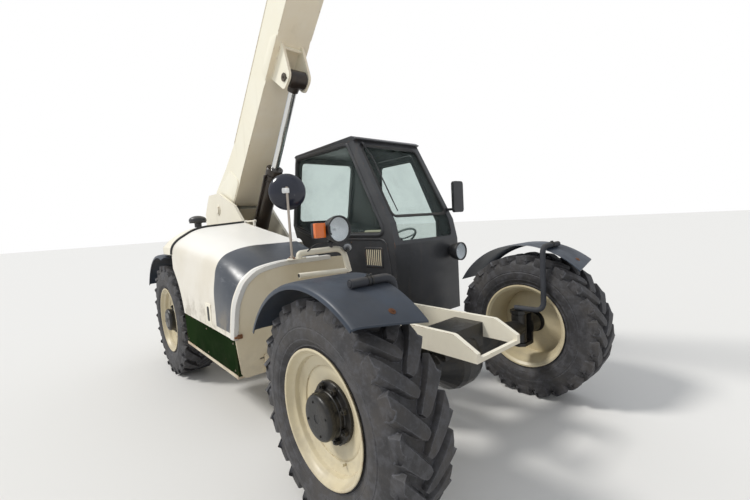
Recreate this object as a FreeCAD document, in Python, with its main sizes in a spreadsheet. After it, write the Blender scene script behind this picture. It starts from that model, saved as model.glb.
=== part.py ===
import FreeCAD, Part
import math
import os
from types import SimpleNamespace

import Sketcher
from FreeCAD import Placement, Rotation, Vector

# Compact telescopic handler: engine on the right, cab on the left, boom raised between them.
# Millimetres, +X forward, +Y to the machine's left, +Z up, floor at z = 0.
# x sizes in the table are counted from the front axle, forward positive; its heights are counted
# from a level axle_high below the wheel centres, and the export stands the tyres on the floor.

# Driving sizes: alias, value, what it is
SIZES = (
    ("wheelbase", 2870, "front axle to rear axle"),
    ("axle_high", 622, "wheel centres above the level that this table's heights count from"),
    ("tyre_radius", 568, "outer radius at the lug tips"),
    ("tyre_width", 328, "section width of a tyre"),
    ("tread_width", 286, "between the tread's shoulders"),
    ("lug_height", 34, "tread lugs"),
    ("wheel_centre_y", 958, "middle of a tyre from the middle plane"),
    ("kingpin_y", 760, "steering axis from the middle plane"),
    ("bead_radius", 306, "inside of the tyre"),
    ("flange_radius", 330, "rim flange"),
    ("flange_thick", 12, "rim flange"),
    ("rim_width", 280, "between the rim flanges"),
    ("rim_wall", 10, "rim barrel thickness"),
    ("rim_sides", 36, "flat sides round a rim"),
    ("turned_sides", 24, "flat sides round hubs, beams, lamps and the steering wheel"),
    ("well_radius", 272, "outside of the rim's well"),
    ("disc_depth", 112, "rim flange face to the disc's face"),
    ("disc_thick", 12, "wheel disc"),
    ("hub_radius", 112, "hub drum"),
    ("hub_out", 162, "hub face from the tyre's middle"),
    ("stud_circle", 131, "radius of the wheel nuts' circle"),
    ("stud_count", 8, "wheel nuts on one wheel"),
    ("nut_size", 17, "wheel nut, centre to corner"),
    ("spindle_radius", 44, "wheel spindle"),
    ("beam_radius", 84, "axle beam"),
    ("diff_radius", 182, "differential housing"),
    ("nose_reach", 232, "axle middle to the face of its drive flange"),
    ("nose_radius", 55, "drive flange on the differential"),
    ("boss_height", 220, "axle end boss"),
    ("pin_gap", 0.3, "running gap round pins, shafts and seats"),
    ("boom_y", -100, "boom's middle plane"),
    ("plate_gap", 390, "between the chassis side plates"),
    ("plate_thick", 30, "chassis and tower side plates"),
    ("chassis_low", 480, "underside of the chassis"),
    ("chassis_high", 850, "top of the chassis plates"),
    ("chassis_front", 350, "front end of the chassis"),
    ("tail_behind", 1030, "counterweight's rear face behind the rear axle"),
    ("tower_high", 1970, "top of the tower plates"),
    ("outrigger_high", 620, "top of the side beams that carry cab and engine"),
    ("outrigger_size", 80, "side beams"),
    ("boom_angle", 46.07, "boom above level, as parked"),
    ("pivot_behind", 510, "boom pivot behind the rear axle"),
    ("pivot_z", 1766, "boom pivot height"),
    ("pivot_radius", 45, "boom pivot pin"),
    ("boom_width", 330, "outer boom"),
    ("boom_top", 112, "outer boom's top face above the pivot line"),
    ("boom_bottom", -240, "outer boom's bottom face below the pivot line"),
    ("boom_wall", 10, "boom plates"),
    ("boom_length", 3000, "pivot to the outer boom's front end"),
    ("inner_length", 4050, "pivot to the inner boom's front end, retracted"),
    ("inner_start", 450, "pivot to the inner boom's rear end, retracted"),
    ("wear_gap", 22, "between the outer and the inner boom"),
    ("extension", 1900, "boom extension"),
    ("head_s", 4350, "fork pivot along the boom"),
    ("head_drop", 1050, "fork pivot below the boom line"),
    ("cheek_gap", 150, "between the head's cheek plates"),
    ("cheek_thick", 22, "head's cheek plates"),
    ("fork_pin_radius", 30, "fork pivot pin"),
    ("fork_length", 1150, "fork blade from the shank's face"),
    ("fork_width", 100, "fork"),
    ("fork_thick", 40, "fork at its heel"),
    ("fork_spread", 300, "fork from the boom's middle plane"),
    ("fork_back", 130, "fork pivot to the carriage's front face"),
    ("fork_low", 320, "fork pivot above the forks' underside"),
    ("carriage_width", 1000, "fork carriage"),
    ("carriage_high", 480, "fork carriage"),
    ("lift_base_behind", 181, "lift cylinder's lower pin behind the rear axle"),
    ("lift_base_z", 1009, "lift cylinder's lower pin height"),
    ("lift_eye_s", 1977, "lift cylinder's rod eye along the boom"),
    ("lift_eye_t", -459, "lift cylinder's rod eye below the boom line"),
    ("lift_barrel_radius", 78, "lift cylinder barrel"),
    ("lift_barrel_length", 1395, "lower pin to the gland"),
    ("lift_rod_radius", 40, "lift cylinder rod"),
    ("lift_eye_radius", 80, "lift cylinder eyes"),
    ("lift_eye_width", 160, "lift cylinder eyes"),
    ("lift_rod_length", 1340, "rod below its eye"),
    ("tilt_base_s", 4100, "tilt cylinder's upper pin along the boom"),
    ("tilt_base_t", -240, "tilt cylinder's upper pin below the boom line"),
    ("tilt_arm", 170, "fork pivot to the tilt cylinder's rod eye"),
    ("tilt_arm_angle", 250, "direction of that arm, as parked, above straight ahead"),
    ("tilt_barrel_radius", 45, "tilt cylinder barrel"),
    ("tilt_barrel_length", 560, "upper pin to the gland"),
    ("tilt_rod_radius", 22, "tilt cylinder rod"),
    ("tilt_rod_length", 600, "rod behind its eye"),
    ("tilt_eye_radius", 38, "tilt cylinder eyes"),
    ("cab_right", 220, "cab's right side"),
    ("cab_left", 1080, "cab's left side"),
    ("cab_wall", 40, "cab frame and door thickness"),
    ("cab_low", 620, "cab floor's underside"),
    ("cab_front", -800, "cab's lower front face"),
    ("cab_top", 2316, "top of the cab roof"),
    ("roof_thick", 46, "cab roof"),
    ("glass_thick", 6, "window panes"),
    ("door_gap", 6, "round the cab door"),
    ("hinge_radius", 11, "door hinge barrel"),
    ("pod_front", -980, "front face of the engine bay"),
    ("pod_side", -1107, "outer side of the engine hood"),
    ("pod_low", 796, "lower edge of the hood"),
    ("arch_radius", 690, "clear radius round the rear wheels"),
    ("hood_inner_y", -380, "hood's inner edge, its hinge"),
    ("hood_front_z", 1275, "hood top at the front"),
    ("hood_rear_z", 1586, "hood top at the rear"),
    ("hood_rear_ahead", 400, "hood's rear edge ahead of the rear axle"),
    ("hood_wall", 8, "hood shell"),
    ("hood_hinge_y", -372, "hood hinge"),
    ("hood_hinge_z", 1594, "hood hinge height"),
    ("hood_rod", 8, "hood hinge rod radius"),
    ("lip_depth", 60, "flange round the front of the engine bay"),
    ("skirt_low", 526, "lower edge of the green side box"),
    ("skirt_depth", 150, "green side box"),
    ("cowl_rear_ahead", 80, "rear end of the fixed cowl ahead of the rear axle"),
    ("fender_radius", 645, "inside of a front fender"),
    ("rear_fender_radius", 675, "inside of a rear fender"),
    ("fender_thick", 8, "fender shell"),
    ("fender_out", 1170, "outer edge of a fender"),
    ("fender_width", 370, "fender"),
    ("stay_radius", 20, "fender stay tube"),
    ("mirror_radius", 130, "round mirror"),
    ("lamp_radius", 85, "headlamp"),
    ("lamp_high", 1486, "right headlamp's height"),
    ("seat_ahead", 1090, "middle of the seat ahead of the rear axle"),
)

doc = FreeCAD.newDocument("telehandler")
sheet = doc.addObject("Spreadsheet::Sheet", "Dims")
for row, (alias, value, meaning) in enumerate(SIZES, 1):
    sheet.set("A%d" % row, alias)
    sheet.set("B%d" % row, str(value))
    sheet.set("C%d" % row, meaning)
    sheet.setAlias("B%d" % row, alias)
doc.recompute()
d = SimpleNamespace(**{alias: value for alias, value, meaning in SIZES})
nodes = {}

# Places worked out from the sizes
boom_cos = math.cos(math.radians(d.boom_angle))
boom_sin = math.sin(math.radians(d.boom_angle))
back = -d.wheelbase
rear_end = back - d.tail_behind
pivot_x = back - d.pivot_behind
lift_base_x = back - d.lift_base_behind
hood_rear = back + d.hood_rear_ahead
cowl_rear = back + d.cowl_rear_ahead
seat_x = back + d.seat_ahead
fork_pin_x = pivot_x + d.head_s * boom_cos + d.head_drop * boom_sin
fork_pin_z = d.pivot_z + d.head_s * boom_sin - d.head_drop * boom_cos
fork_tip_x = fork_pin_x + d.fork_back + d.fork_thick + d.fork_length
axle_x = -(rear_end + fork_tip_x) / 2
rear_x = axle_x - d.wheelbase
plate_right = d.boom_y - d.plate_gap / 2
plate_left = d.boom_y + d.plate_gap / 2


def from_axle(points):
    """Shift outline points in x, z from the front axle to the part's own frame."""
    return [(axle_x + p[0],) + tuple(p[1:]) for p in points]


def corner_edges(points):
    """Lines and arcs of a closed outline; a third number in a point rounds that corner."""
    corners = []
    count = len(points)
    for i, point in enumerate(points):
        here = Vector(point[0], point[1], 0)
        radius = point[2] if len(point) > 2 else 0
        if not radius:
            corners.append((here, here, None))
            continue
        before = Vector(*points[i - 1][:2], 0) - here
        after = Vector(*points[(i + 1) % count][:2], 0) - here
        half = before.getAngle(after) / 2
        if half > math.pi / 2 - 0.01:
            corners.append((here, here, None))
            continue
        reach = radius / math.tan(half)
        before.normalize()
        after.normalize()
        middle = (before + after).normalize()
        centre = here + middle * (radius / math.sin(half))
        corners.append((here + before * reach, here + after * reach, centre - middle * radius))
    edges = []
    for i, (start, end, crown) in enumerate(corners):
        if crown is not None:
            edges.append(Part.Arc(start, crown, end))
        nxt = corners[(i + 1) % count][0]
        if (nxt - end).Length > 1e-6:
            edges.append(Part.LineSegment(end, nxt))
    return edges


def bind(target, path, value):
    """Bind a property to sheet cells by an expression, or set a worked-out number."""
    target.setExpression(path, value if isinstance(value, str) else "%.6f" % value)


def sketch_on(body, plane, outlines):
    """A sketch on one of the body's origin planes; each outline is points or ready edges."""
    sketch = body.newObject("Sketcher::SketchObject", body.Name + "_sketch")
    face = [f for f in body.Origin.OriginFeatures if f.Role == plane + "_Plane"][0]
    sketch.AttachmentSupport = [(face, "")]
    sketch.MapMode = "FlatFace"
    for outline in outlines:
        edges = corner_edges(outline) if isinstance(outline[0], tuple) else outline
        first = sketch.GeometryCount
        sketch.addGeometry(edges, False)
        if len(edges) < 2:
            continue
        for i in range(len(edges)):
            here = first + i
            after = first + (i + 1) % len(edges)
            end, start = min(((a, b) for a in (1, 2) for b in (1, 2)),
                             key=lambda ab: (sketch.getPoint(here, ab[0])
                                             - sketch.getPoint(after, ab[1])).Length)
            sketch.addConstraint(Sketcher.Constraint("Coincident", here, end, after, start))
    return sketch


AXES = {"XY": "z", "XZ": "y", "YZ": "x"}


def pad(name, plane, outlines, start, length):
    """Outlines on a plane, padded from start by length along that plane's axis."""
    body = doc.addObject("PartDesign::Body", name)
    sketch = sketch_on(body, plane, outlines)
    feature = body.newObject("PartDesign::Pad", name + "_pad")
    feature.Profile = sketch
    feature.Reversed = plane == "XZ"
    bind(feature, "Length", length)
    sketch.Visibility = False
    bind(body, "Placement.Base." + AXES[plane], start)
    return body


def revolve(name, outline, about="V_Axis"):
    """An outline in radius and axial place, revolved about Y (V_Axis) or X (H_Axis)."""
    body = doc.addObject("PartDesign::Body", name)
    sketch = sketch_on(body, "XY", [outline])
    feature = body.newObject("PartDesign::Revolution", name + "_turn")
    feature.Profile = sketch
    feature.ReferenceAxis = (sketch, [about])
    feature.Angle = 360
    return body


def cylinder(name, centre, axis, radius, length):
    """A round bar about its centre point."""
    bar = doc.addObject("Part::Cylinder", name)
    bind(bar, "Radius", radius)
    bind(bar, "Height", length)
    doc.recompute([bar])
    direction = Vector(*axis).normalize()
    base = Vector(*centre) - direction * (bar.Height.Value / 2)
    bar.Placement = Placement(base, Rotation(Vector(0, 0, 1), direction))
    return bar


def box(name, low, high):
    """A plain block between two corners."""
    block = doc.addObject("Part::Box", name)
    bind(block, "Length", high[0] - low[0])
    bind(block, "Width", high[1] - low[1])
    bind(block, "Height", high[2] - low[2])
    block.Placement = Placement(Vector(*low), Rotation())
    return block


def fuse(name, pieces):
    """Welded pieces as one solid."""
    joined = doc.addObject("Part::MultiFuse", name)
    joined.Shapes = pieces
    joined.Refine = True
    return joined


def cut(name, base, tools):
    """A piece with one or more tools taken away."""
    tool = tools[0] if len(tools) == 1 else fuse(name + "_tools", tools)
    result = doc.addObject("Part::Cut", name)
    result.Base = base
    result.Tool = tool
    result.Refine = True
    return result


def group(name, pieces):
    """Like pieces on one body that share a node without touching."""
    held = doc.addObject("Part::Compound", name)
    held.Links = pieces
    return held


def solid_of(corners):
    """A solid closed by plane faces, each given by its corner points."""
    shell = Part.makeShell([Part.Face(Part.makePolygon(list(c) + [c[0]])) for c in corners])
    solid = Part.makeSolid(shell)
    if solid.Volume < 0:
        solid.reverse()
    return solid


def turned(name, outline, sides):
    """An outline in radius and axial place, turned about Y in flat sides to save facets."""
    rings = [[Vector(r * math.cos(2 * math.pi * k / sides), y, r * math.sin(2 * math.pi * k / sides))
              for k in range(sides)] for r, y in outline]
    corners = []
    for i, (r, _) in enumerate(outline):
        first = rings[i - 1]
        second = rings[i]
        for k in range(sides):
            if r and outline[i - 1][0]:
                corners.append((first[k - 1], first[k], second[k], second[k - 1]))
            elif r:
                corners.append((first[k], second[k], second[k - 1]))
            elif outline[i - 1][0]:
                corners.append((first[k - 1], first[k], second[k]))
    piece = doc.addObject("Part::Feature", name)
    piece.Shape = solid_of(corners).removeSplitter()
    return piece


def tube(name, points, radius, bend):
    """A bent tube of eight flats: straight runs joined by bends in three steps."""
    at = [Vector(*p) for p in points]
    path = [at[0]]
    for i in range(1, len(at) - 1):
        before = (at[i - 1] - at[i]).normalize()
        after = (at[i + 1] - at[i]).normalize()
        half = before.getAngle(after) / 2
        reach = bend / math.tan(half)
        middle = (before + after).normalize()
        crown = at[i] + middle * (bend / math.sin(half) - bend)
        arc = Part.Arc(at[i] + before * reach, crown, at[i] + after * reach).toShape()
        path += arc.discretize(4)
    path.append(at[-1])
    circle = Part.Circle(path[0], (path[1] - path[0]).normalize(), radius)
    rings = [[circle.value(k * math.pi / 4) for k in range(8)]]
    for i in range(1, len(path)):
        run = (path[i] - path[i - 1]).normalize()
        onward = (path[i + 1] - path[i]).normalize() if i + 1 < len(path) else run
        mitre = run + onward
        rings.append([p + run * ((path[i] - p).dot(mitre) / run.dot(mitre)) for p in rings[-1]])
    corners = [rings[0], rings[-1]]
    for first, second in zip(rings, rings[1:]):
        corners += [(first[k - 1], first[k], second[k], second[k - 1]) for k in range(8)]
    piece = doc.addObject("Part::Feature", name)
    piece.Shape = solid_of(corners)
    return piece


def node(name, piece, place=None):
    """Give a finished piece its node name, and its place where it was made in its own frame."""
    if place is not None:
        piece.Placement = place
    piece.Label = name
    nodes[name] = piece
    return piece


def mirrored(name, piece):
    """The same piece on the machine's other side."""
    other = doc.addObject("Part::Mirroring", name)
    other.Source = piece
    other.Normal = Vector(0, 1, 0)
    return other


# Wheels and axles

half_rim = d.rim_width / 2
flange_y = half_rim + d.flange_thick
disc_face = flange_y - d.disc_depth
disc_back = disc_face - d.disc_thick
seat = d.bead_radius - d.pin_gap
bore = seat - d.rim_wall
well_bore = d.well_radius - d.rim_wall
drum_hole = d.hub_radius + 2
CORNERS = (
    # name, x of the axle, side (+1 left, -1 right)
    ("front_right", axle_x, -1),
    ("front_left", axle_x, 1),
    ("rear_right", rear_x, -1),
    ("rear_left", rear_x, 1),
)


def wheel_place(corner_x, side):
    """Turn a wheel made with its outer face to +Y to its own side."""
    return Placement(Vector(corner_x, side * d.wheel_centre_y, d.axle_high),
                     Rotation(Vector(0, 0, 1), 0 if side > 0 else 180))


LUGS = 22
LUG_FLANK = 0.06
NOSE_ANGLE = math.radians(23.8)
# Stations of one lug pitch, and whether the tread is high there, on the right and on the left
STATIONS = (0, LUG_FLANK, 0.5, 0.5 + LUG_FLANK)
HIGH = {-1: (0, 1, 1, 0), 1: (1, 0, 0, 1)}


def ring(every, pitches, radius, y):
    """Points round a tyre at every so many stations; radius and y may differ by the tread's height."""
    points = []
    for i in range(0, 4 * LUGS, every):
        turn = NOSE_ANGLE + (i // 4 + STATIONS[i % 4] - 0.28 + pitches) * 2 * math.pi / LUGS
        high = HIGH[-1 if y(0) < 0 else 1][i % 4]
        points.append(Vector(radius(high) * math.cos(turn), y(high), radius(high) * math.sin(turn)))
    return points


def band(first, second):
    """Triangles between two rings; the second has the same number of points or a whole part of it."""
    faces = []
    step = len(first) // len(second)
    for i, here in enumerate(second):
        run = [first[(i * step + k) % len(first)] for k in range(step + 1)]
        turn_at = (step + 1) // 2
        after = second[(i + 1) % len(second)]
        faces += [(here, run[k + 1], run[k]) for k in range(turn_at)]
        faces.append((here, after, run[turn_at]))
        faces += [(after, run[k + 1], run[k]) for k in range(turn_at, step)]
    return faces


def tyre_shape():
    """Tyre of plane faces: a lug's flank at every step of the tread, sidewalls and bead."""
    tread = d.tread_width / 2
    wide = d.tyre_width / 2
    reach = -min(math.sin(NOSE_ANGLE + (i + s - 0.28) * 2 * math.pi / LUGS)
                 for i in range(LUGS) for s in STATIONS[1:3])
    tip = d.tyre_radius / reach
    bead = 1 / math.cos(math.pi / LUGS)
    halves = []
    faces = []
    for side in (-1, 1):
        rings = [
            ring(1, 0, lambda high: tip - (1 - high) * d.lug_height, lambda high: side * 12),
            ring(1, 1, lambda high: tip - (1 - high) * d.lug_height, lambda high: side * tread),
            ring(1, 1, lambda high: tip - 78, lambda high: side * (wide - 6 - (1 - high) * 16)),
            ring(2, 1, lambda high: tip - 140, lambda high: side * wide),
            ring(4, 1, lambda high: (d.flange_radius + 2) * bead, lambda high: side * half_rim),
            ring(4, 1, lambda high: d.bead_radius * bead, lambda high: side * half_rim)]
        for outer, inner in zip(rings, rings[1:]):
            faces += band(outer, inner)
        halves.append((rings[0], rings[-1]))
    faces += band(halves[0][0], halves[1][0]) + band(halves[0][1], halves[1][1])
    return solid_of(faces).removeSplitter()


def rim_outline():
    """Section of the rim with its dished disc: radius, distance towards the outer face."""
    return [
        (d.flange_radius, flange_y), (d.flange_radius, half_rim + d.pin_gap),
        (seat, half_rim + d.pin_gap), (seat, half_rim - 45), (d.well_radius, half_rim - 70),
        (d.well_radius, -half_rim + 80), (seat, -half_rim + 55), (seat, -half_rim - d.pin_gap),
        (d.flange_radius, -half_rim - d.pin_gap), (d.flange_radius, -flange_y),
        (bore, -flange_y), (well_bore, -half_rim + 84), (well_bore, disc_back),
        (drum_hole, disc_back), (drum_hole, disc_face),
        (well_bore, disc_face), (well_bore, half_rim - 74), (bore, half_rim - 48), (bore, flange_y),
    ]


def hub(name):
    """Hub drum with its rear flange and spindle bore, and the ring of wheel nuts."""
    flange = disc_back
    bored = (d.spindle_radius + d.pin_gap) / math.cos(math.pi / d.turned_sides)
    drum = turned(name + "_drum", [
        (0, d.hub_out), (d.hub_radius - 16, d.hub_out), (d.hub_radius, d.hub_out - 14),
        (d.hub_radius, flange), (d.stud_circle + 22, flange), (d.stud_circle + 22, flange - 26),
        (bored, flange - 26), (bored, disc_face + 60), (0, disc_face + 60)], d.turned_sides)
    nuts = []
    for i in range(d.stud_count):
        turn = 2 * math.pi * (i + 0.5) / d.stud_count
        cx = d.stud_circle * math.cos(turn)
        cz = d.stud_circle * math.sin(turn)
        corners = [(cx + d.nut_size * math.cos(turn + k * math.pi / 3),
                    cz + d.nut_size * math.sin(turn + k * math.pi / 3)) for k in range(6)]
        nuts.append(pad("%s_nut_%d" % (name, i), "XZ", [corners], disc_face, 30.0))
    return group(name, [drum] + nuts)


def knuckle(name):
    """C-shaped knuckle on its kingpin, with the spindle pointing out to +Y."""
    yoke_y = d.kingpin_y - d.wheel_centre_y
    half = d.boss_height / 2
    top = half + 5
    web = yoke_y + 82
    cheeks = [pad(name + "_cheek_%d" % i, "XY", [[
        (-62, web + 24), (-62, yoke_y - 24), (-28, yoke_y - 60), (28, yoke_y - 60),
        (62, yoke_y - 24), (62, web + 24)]], z, 25.0) for i, z in enumerate((top, -top - 25))]
    wall = box(name + "_web", (-62, web, -top - 25), (62, web + 24, top + 25))
    pin = cylinder(name + "_pin", (0, yoke_y, 0), (0, 0, 1),
                   "Dims.spindle_radius / 2 + 2", "Dims.boss_height + 60")
    spindle = cylinder(name + "_spindle", (0, (web + disc_face + 55) / 2, 0), (0, 1, 0),
                       "Dims.spindle_radius", disc_face + 55 - web)
    collar = cylinder(name + "_collar", (0, (web + disc_back - 26) / 2, 0), (0, 1, 0),
                      80.0, disc_back - 26 - d.pin_gap - web)
    return fuse(name, cheeks + [wall, pin, spindle, collar])


def axle(name, at_x, nose):
    """Beam with an offset differential, end bosses bored for the kingpins, and a seat block."""
    middle = d.boom_y
    end = d.kingpin_y
    beam = turned(name + "_beam", [
        (0, -end), (58, -end), (d.beam_radius - 8, -end + 160), (d.beam_radius, middle - 200),
        (d.diff_radius - 12, middle - 95), (d.diff_radius, middle - 50),
        (d.diff_radius, middle + 50), (d.diff_radius - 12, middle + 95),
        (d.beam_radius, middle + 185), (d.beam_radius - 8, end - 160), (58, end), (0, end)],
        d.turned_sides)
    bosses = [cylinder("%s_boss_%d" % (name, i), (0, side * end, 0), (0, 0, 1),
                       "Dims.spindle_radius + 12", "Dims.boss_height")
              for i, side in enumerate((-1, 1))]
    saddle = box(name + "_saddle", (-110, plate_right, 60), (110, plate_left, 210))
    ram = turned(name + "_ram", [(0, -310), (36, -310), (36, 310), (0, 310)], 12)
    ram.Placement = Placement(Vector(-135, middle + 60, 40), Rotation())
    ram_feet = [box("%s_foot_%d" % (name, i), (-140, y, 10), (-40, y + 30, 70))
                for i, y in enumerate((middle - 160, middle + 250))]
    flange = cylinder(name + "_nose", (nose * d.nose_reach / 2, middle, 0), (1, 0, 0),
                      "Dims.nose_radius", "Dims.nose_reach")
    whole = fuse(name + "_whole", [beam, saddle, ram, flange] + ram_feet + bosses)
    bores = [cylinder("%s_bore_%d" % (name, i), (0, side * end, 0), (0, 0, 1),
                      "Dims.spindle_radius / 2 + 2 + Dims.pin_gap", "Dims.boss_height + 2")
             for i, side in enumerate((-1, 1))]
    node(name, cut(name, whole, bores), Placement(Vector(at_x, 0, d.axle_high), Rotation()))


tyre_solid = tyre_shape()
for label, corner_x, side in CORNERS:
    place = wheel_place(corner_x, side)
    tyre = doc.addObject("Part::Feature", "tyre_" + label)
    tyre.Shape = tyre_solid
    node("tyre_" + label, tyre, Placement(place.Base, Rotation()))
    node("rim_" + label, turned("rim_" + label, rim_outline(), d.rim_sides), place)
    node("hub_" + label, hub("hub_" + label), place)
    node("knuckle_" + label, knuckle("knuckle_" + label), place)
axle("front_axle", axle_x, -1)
axle("rear_axle", rear_x, 1)

# Chassis, tower and counterweight


def side_plates(name, outline):
    """The same plate on both sides of the boom."""
    return [pad("%s_%d" % (name, i), "XZ", [outline], start, "Dims.plate_thick")
            for i, start in enumerate(("Dims.boom_y - Dims.plate_gap / 2 - Dims.plate_thick",
                                       "Dims.boom_y + Dims.plate_gap / 2"))]


notch = d.beam_radius + 100


def chassis():
    """Two long plates notched over the axles, cross members and side beams."""
    low = d.chassis_low
    high = d.chassis_high
    front = d.chassis_front
    deck = d.axle_high + d.beam_radius + 30
    rear = rear_end + 300
    outline = from_axle([
        (front, deck), (front, high - 60), (front - 150, high + 20, 60), (-700, high + 20, 60),
        (-900, high), (rear, high), (rear, low + 60), (back - 460, low, 40), (back - 360, low, 40),
        (back - notch, deck, 30), (back + notch, deck, 30), (back + 330, low, 40),
        (-330, low, 40), (-notch, deck, 30), (notch, deck, 30)])
    plates = side_plates("chassis_plate", outline)
    members = []
    # Cross members between the plates: low x, high x, low z, high z
    for i, (x0, x1, z0, z1) in enumerate((
            (front - 25, front, deck, high - 90), (back + 570, -560, low, low + 16),
            (rear, rear + 25, low + 70, high),
            (back + 1770, back + 1810, d.axle_high + 60, high - 80))):
        members.append(box("chassis_member_%d" % i, (axle_x + x0, plate_right, z0),
                           (axle_x + x1, plate_left, z1)))
    size = d.outrigger_size
    top = d.outrigger_high
    # Side beams: x, inner y, outer y
    for i, (x, y0, y1) in enumerate((
            (-1150, plate_left + d.plate_thick, d.cab_left - 60),
            (back + 820, plate_left + d.plate_thick, d.cab_left - 60),
            (-1180, d.pod_side + d.skirt_depth, plate_right - d.plate_thick),
            (back + 820, d.pod_side + d.skirt_depth, plate_right - d.plate_thick))):
        members.append(box("outrigger_%d" % i, (axle_x + x - size / 2, y0, top - size),
                           (axle_x + x + size / 2, y1, top)))
    node("chassis_frame", fuse("chassis_frame", plates + members))


def tower():
    """Tall plates that carry the boom pivot and the lift cylinder's lower pin."""
    base = d.chassis_high
    top = d.tower_high
    rear = rear_end
    outline = from_axle([
        (rear + 300, base), (back + 540, base), (back + 490, 1356, 60), (back + 240, 1586, 80),
        (back + 10, 1790, 80), (back - 460, top, 60), (back - 820, top, 60), (rear + 10, 1731, 60),
        (rear + 10, 1300, 40), (rear + 300, 1210)])
    plates = side_plates("tower_plate", outline)
    pivot = cylinder("tower_pivot", (axle_x + pivot_x, d.boom_y, d.pivot_z), (0, 1, 0),
                     "Dims.pivot_radius", "Dims.plate_gap + 2 * Dims.plate_thick + 40")
    foot = cylinder("tower_foot", (axle_x + lift_base_x, d.boom_y, d.lift_base_z), (0, 1, 0),
                    "Dims.pivot_radius - 7", "Dims.plate_gap + 2 * Dims.plate_thick + 30")
    cross = box("tower_back", (axle_x + rear + 60, plate_right, 1330),
               (axle_x + rear + 85, plate_left, 1640))
    node("boom_tower", fuse("boom_tower", plates + [pivot, foot, cross]))


def counterweight():
    """Cast block behind the rear wheels, hooked over the chassis end."""
    half = d.fender_out - 190
    outline = [(-half, 520, 60), (half, 520, 60), (half, 1060, 90), (half - 260, 1210, 60),
               (-half + 260, 1210, 60), (-half, 1060, 90)]
    block = pad("weight_block", "YZ", [outline], axle_x + rear_end, 300.0)
    jaw = [box("hitch_jaw_%d" % i, (axle_x + rear_end + 40, -70, z), (axle_x + rear_end + 160, 70, z + 25))
           for i, z in enumerate((480, 400))]
    web = box("hitch_web", (axle_x + rear_end + 130, -70, 400), (axle_x + rear_end + 160, 70, 540))
    whole = fuse("weight_whole", [block, web] + jaw)
    hole = cylinder("hitch_hole", (axle_x + rear_end + 85, 0, 450), (0, 0, 1), 16.0, 130.0)
    node("counterweight", cut("counterweight", whole, [hole]))


def driveline():
    """Gearbox between the plates with a shaft to each axle."""
    middle = d.boom_y
    case = pad("gear_case", "XZ", [from_axle([
        (back + 940, 520, 50), (back + 1420, 520, 50), (back + 1420, 800, 50), (back + 940, 800, 50)])],
        "Dims.boom_y - Dims.plate_gap / 2", "Dims.plate_gap")
    gap = d.nose_reach
    shafts = []
    # Shafts: rear end, front end
    for i, (x0, x1) in enumerate(((back + 1410, -gap), (back + gap, back + 950))):
        shafts.append(cylinder("shaft_%d" % i, (axle_x + (x0 + x1) / 2, middle, d.axle_high),
                               (1, 0, 0), 34.0, x1 - x0))
    node("driveline", fuse("driveline", [case] + shafts))


chassis()
tower()
counterweight()
driveline()

# Engine side: bulkhead, hood, cowl and green side box


def skinned(sections):
    """A solid through outlines across the machine, each at its x, in plane faces."""
    rings = [[Vector(x, y, z) for y, z in points] for x, points in sections]
    corners = [rings[0], rings[-1]]
    for first, second in zip(rings, rings[1:]):
        for k in range(len(first)):
            corners += [(first[k - 1], first[k], second[k]), (first[k - 1], second[k], second[k - 1])]
    return solid_of(corners)


# Hood sections from the foot up to the inner edge: offset from pod_side, height from the top
HOOD_FRONT = ((-15, -479), (10, -290), (26, -226), (84, -105), (178, -38), (262, -18), (392, 0))
HOOD_MIDDLE = ((-9, -594), (-2, -300), (36, -126), (64, -80), (114, -40), (210, -14), (312, 0))
HOOD_REAR = ((0, -790), (0, -400), (0, -244), (16, -190), (64, -138), (206, -54), (312, -28))
HOOD_CROWN = 290
MIDDLE_RISE = 0.37


def hood_points(section, top, grow):
    """Hood outline across the machine, moved in by grow for the inside."""
    inner = d.hood_inner_y + (1 if grow > 0 else 0)
    points = [(d.pod_side + y + grow, top + z - grow) for y, z in section]
    points[0] = (points[0][0], d.pod_low - (40 if grow > 0 else 0))
    return points + [(inner, top - grow), (inner, points[0][1])]


def hood():
    """Shell through the front, middle and rear sections, cut by the wheel arch."""
    front_x = axle_x + d.pod_front - d.lip_depth
    rear_x0 = axle_x + hood_rear
    middle_x = front_x - HOOD_CROWN
    middle_z = d.hood_front_z + (d.hood_rear_z - d.hood_front_z) * MIDDLE_RISE
    lofts = []
    for grow in (0, d.hood_wall):
        lofts.append(skinned([
            (front_x + (1 if grow else 0), hood_points(HOOD_FRONT, d.hood_front_z, grow)),
            (middle_x, hood_points(HOOD_MIDDLE, middle_z, grow)),
            (rear_x0 - (1 if grow else 0), hood_points(HOOD_REAR, d.hood_rear_z, grow))]))
    outer, inside = lofts
    shell = outer.cut(inside)
    arch = Part.makeCylinder(d.arch_radius, 1400, Vector(rear_x, -1300, d.axle_high),
                             Vector(0, 1, 0))
    shell = shell.cut(arch)
    slope = (d.hood_rear_z - middle_z) / (rear_x0 - middle_x)
    for x in (rear_x0 + 30, rear_x0 + 250):
        edge = d.hood_rear_z + slope * (x - rear_x0) - d.hood_wall
        lug = Part.makeBox(20, 24, d.hood_hinge_z - edge, Vector(x, d.hood_inner_y - 14, edge))
        boss = Part.makeCylinder(14, 20, Vector(x, d.hood_hinge_y, d.hood_hinge_z), Vector(1, 0, 0))
        hole = Part.makeCylinder(d.hood_rod + d.pin_gap, 22,
                                 Vector(x - 1, d.hood_hinge_y, d.hood_hinge_z), Vector(1, 0, 0))
        shell = shell.fuse(lug).fuse(boss).cut(hole)
    piece = doc.addObject("Part::Feature", "hood")
    piece.Shape = shell
    node("hood", piece)


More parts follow.
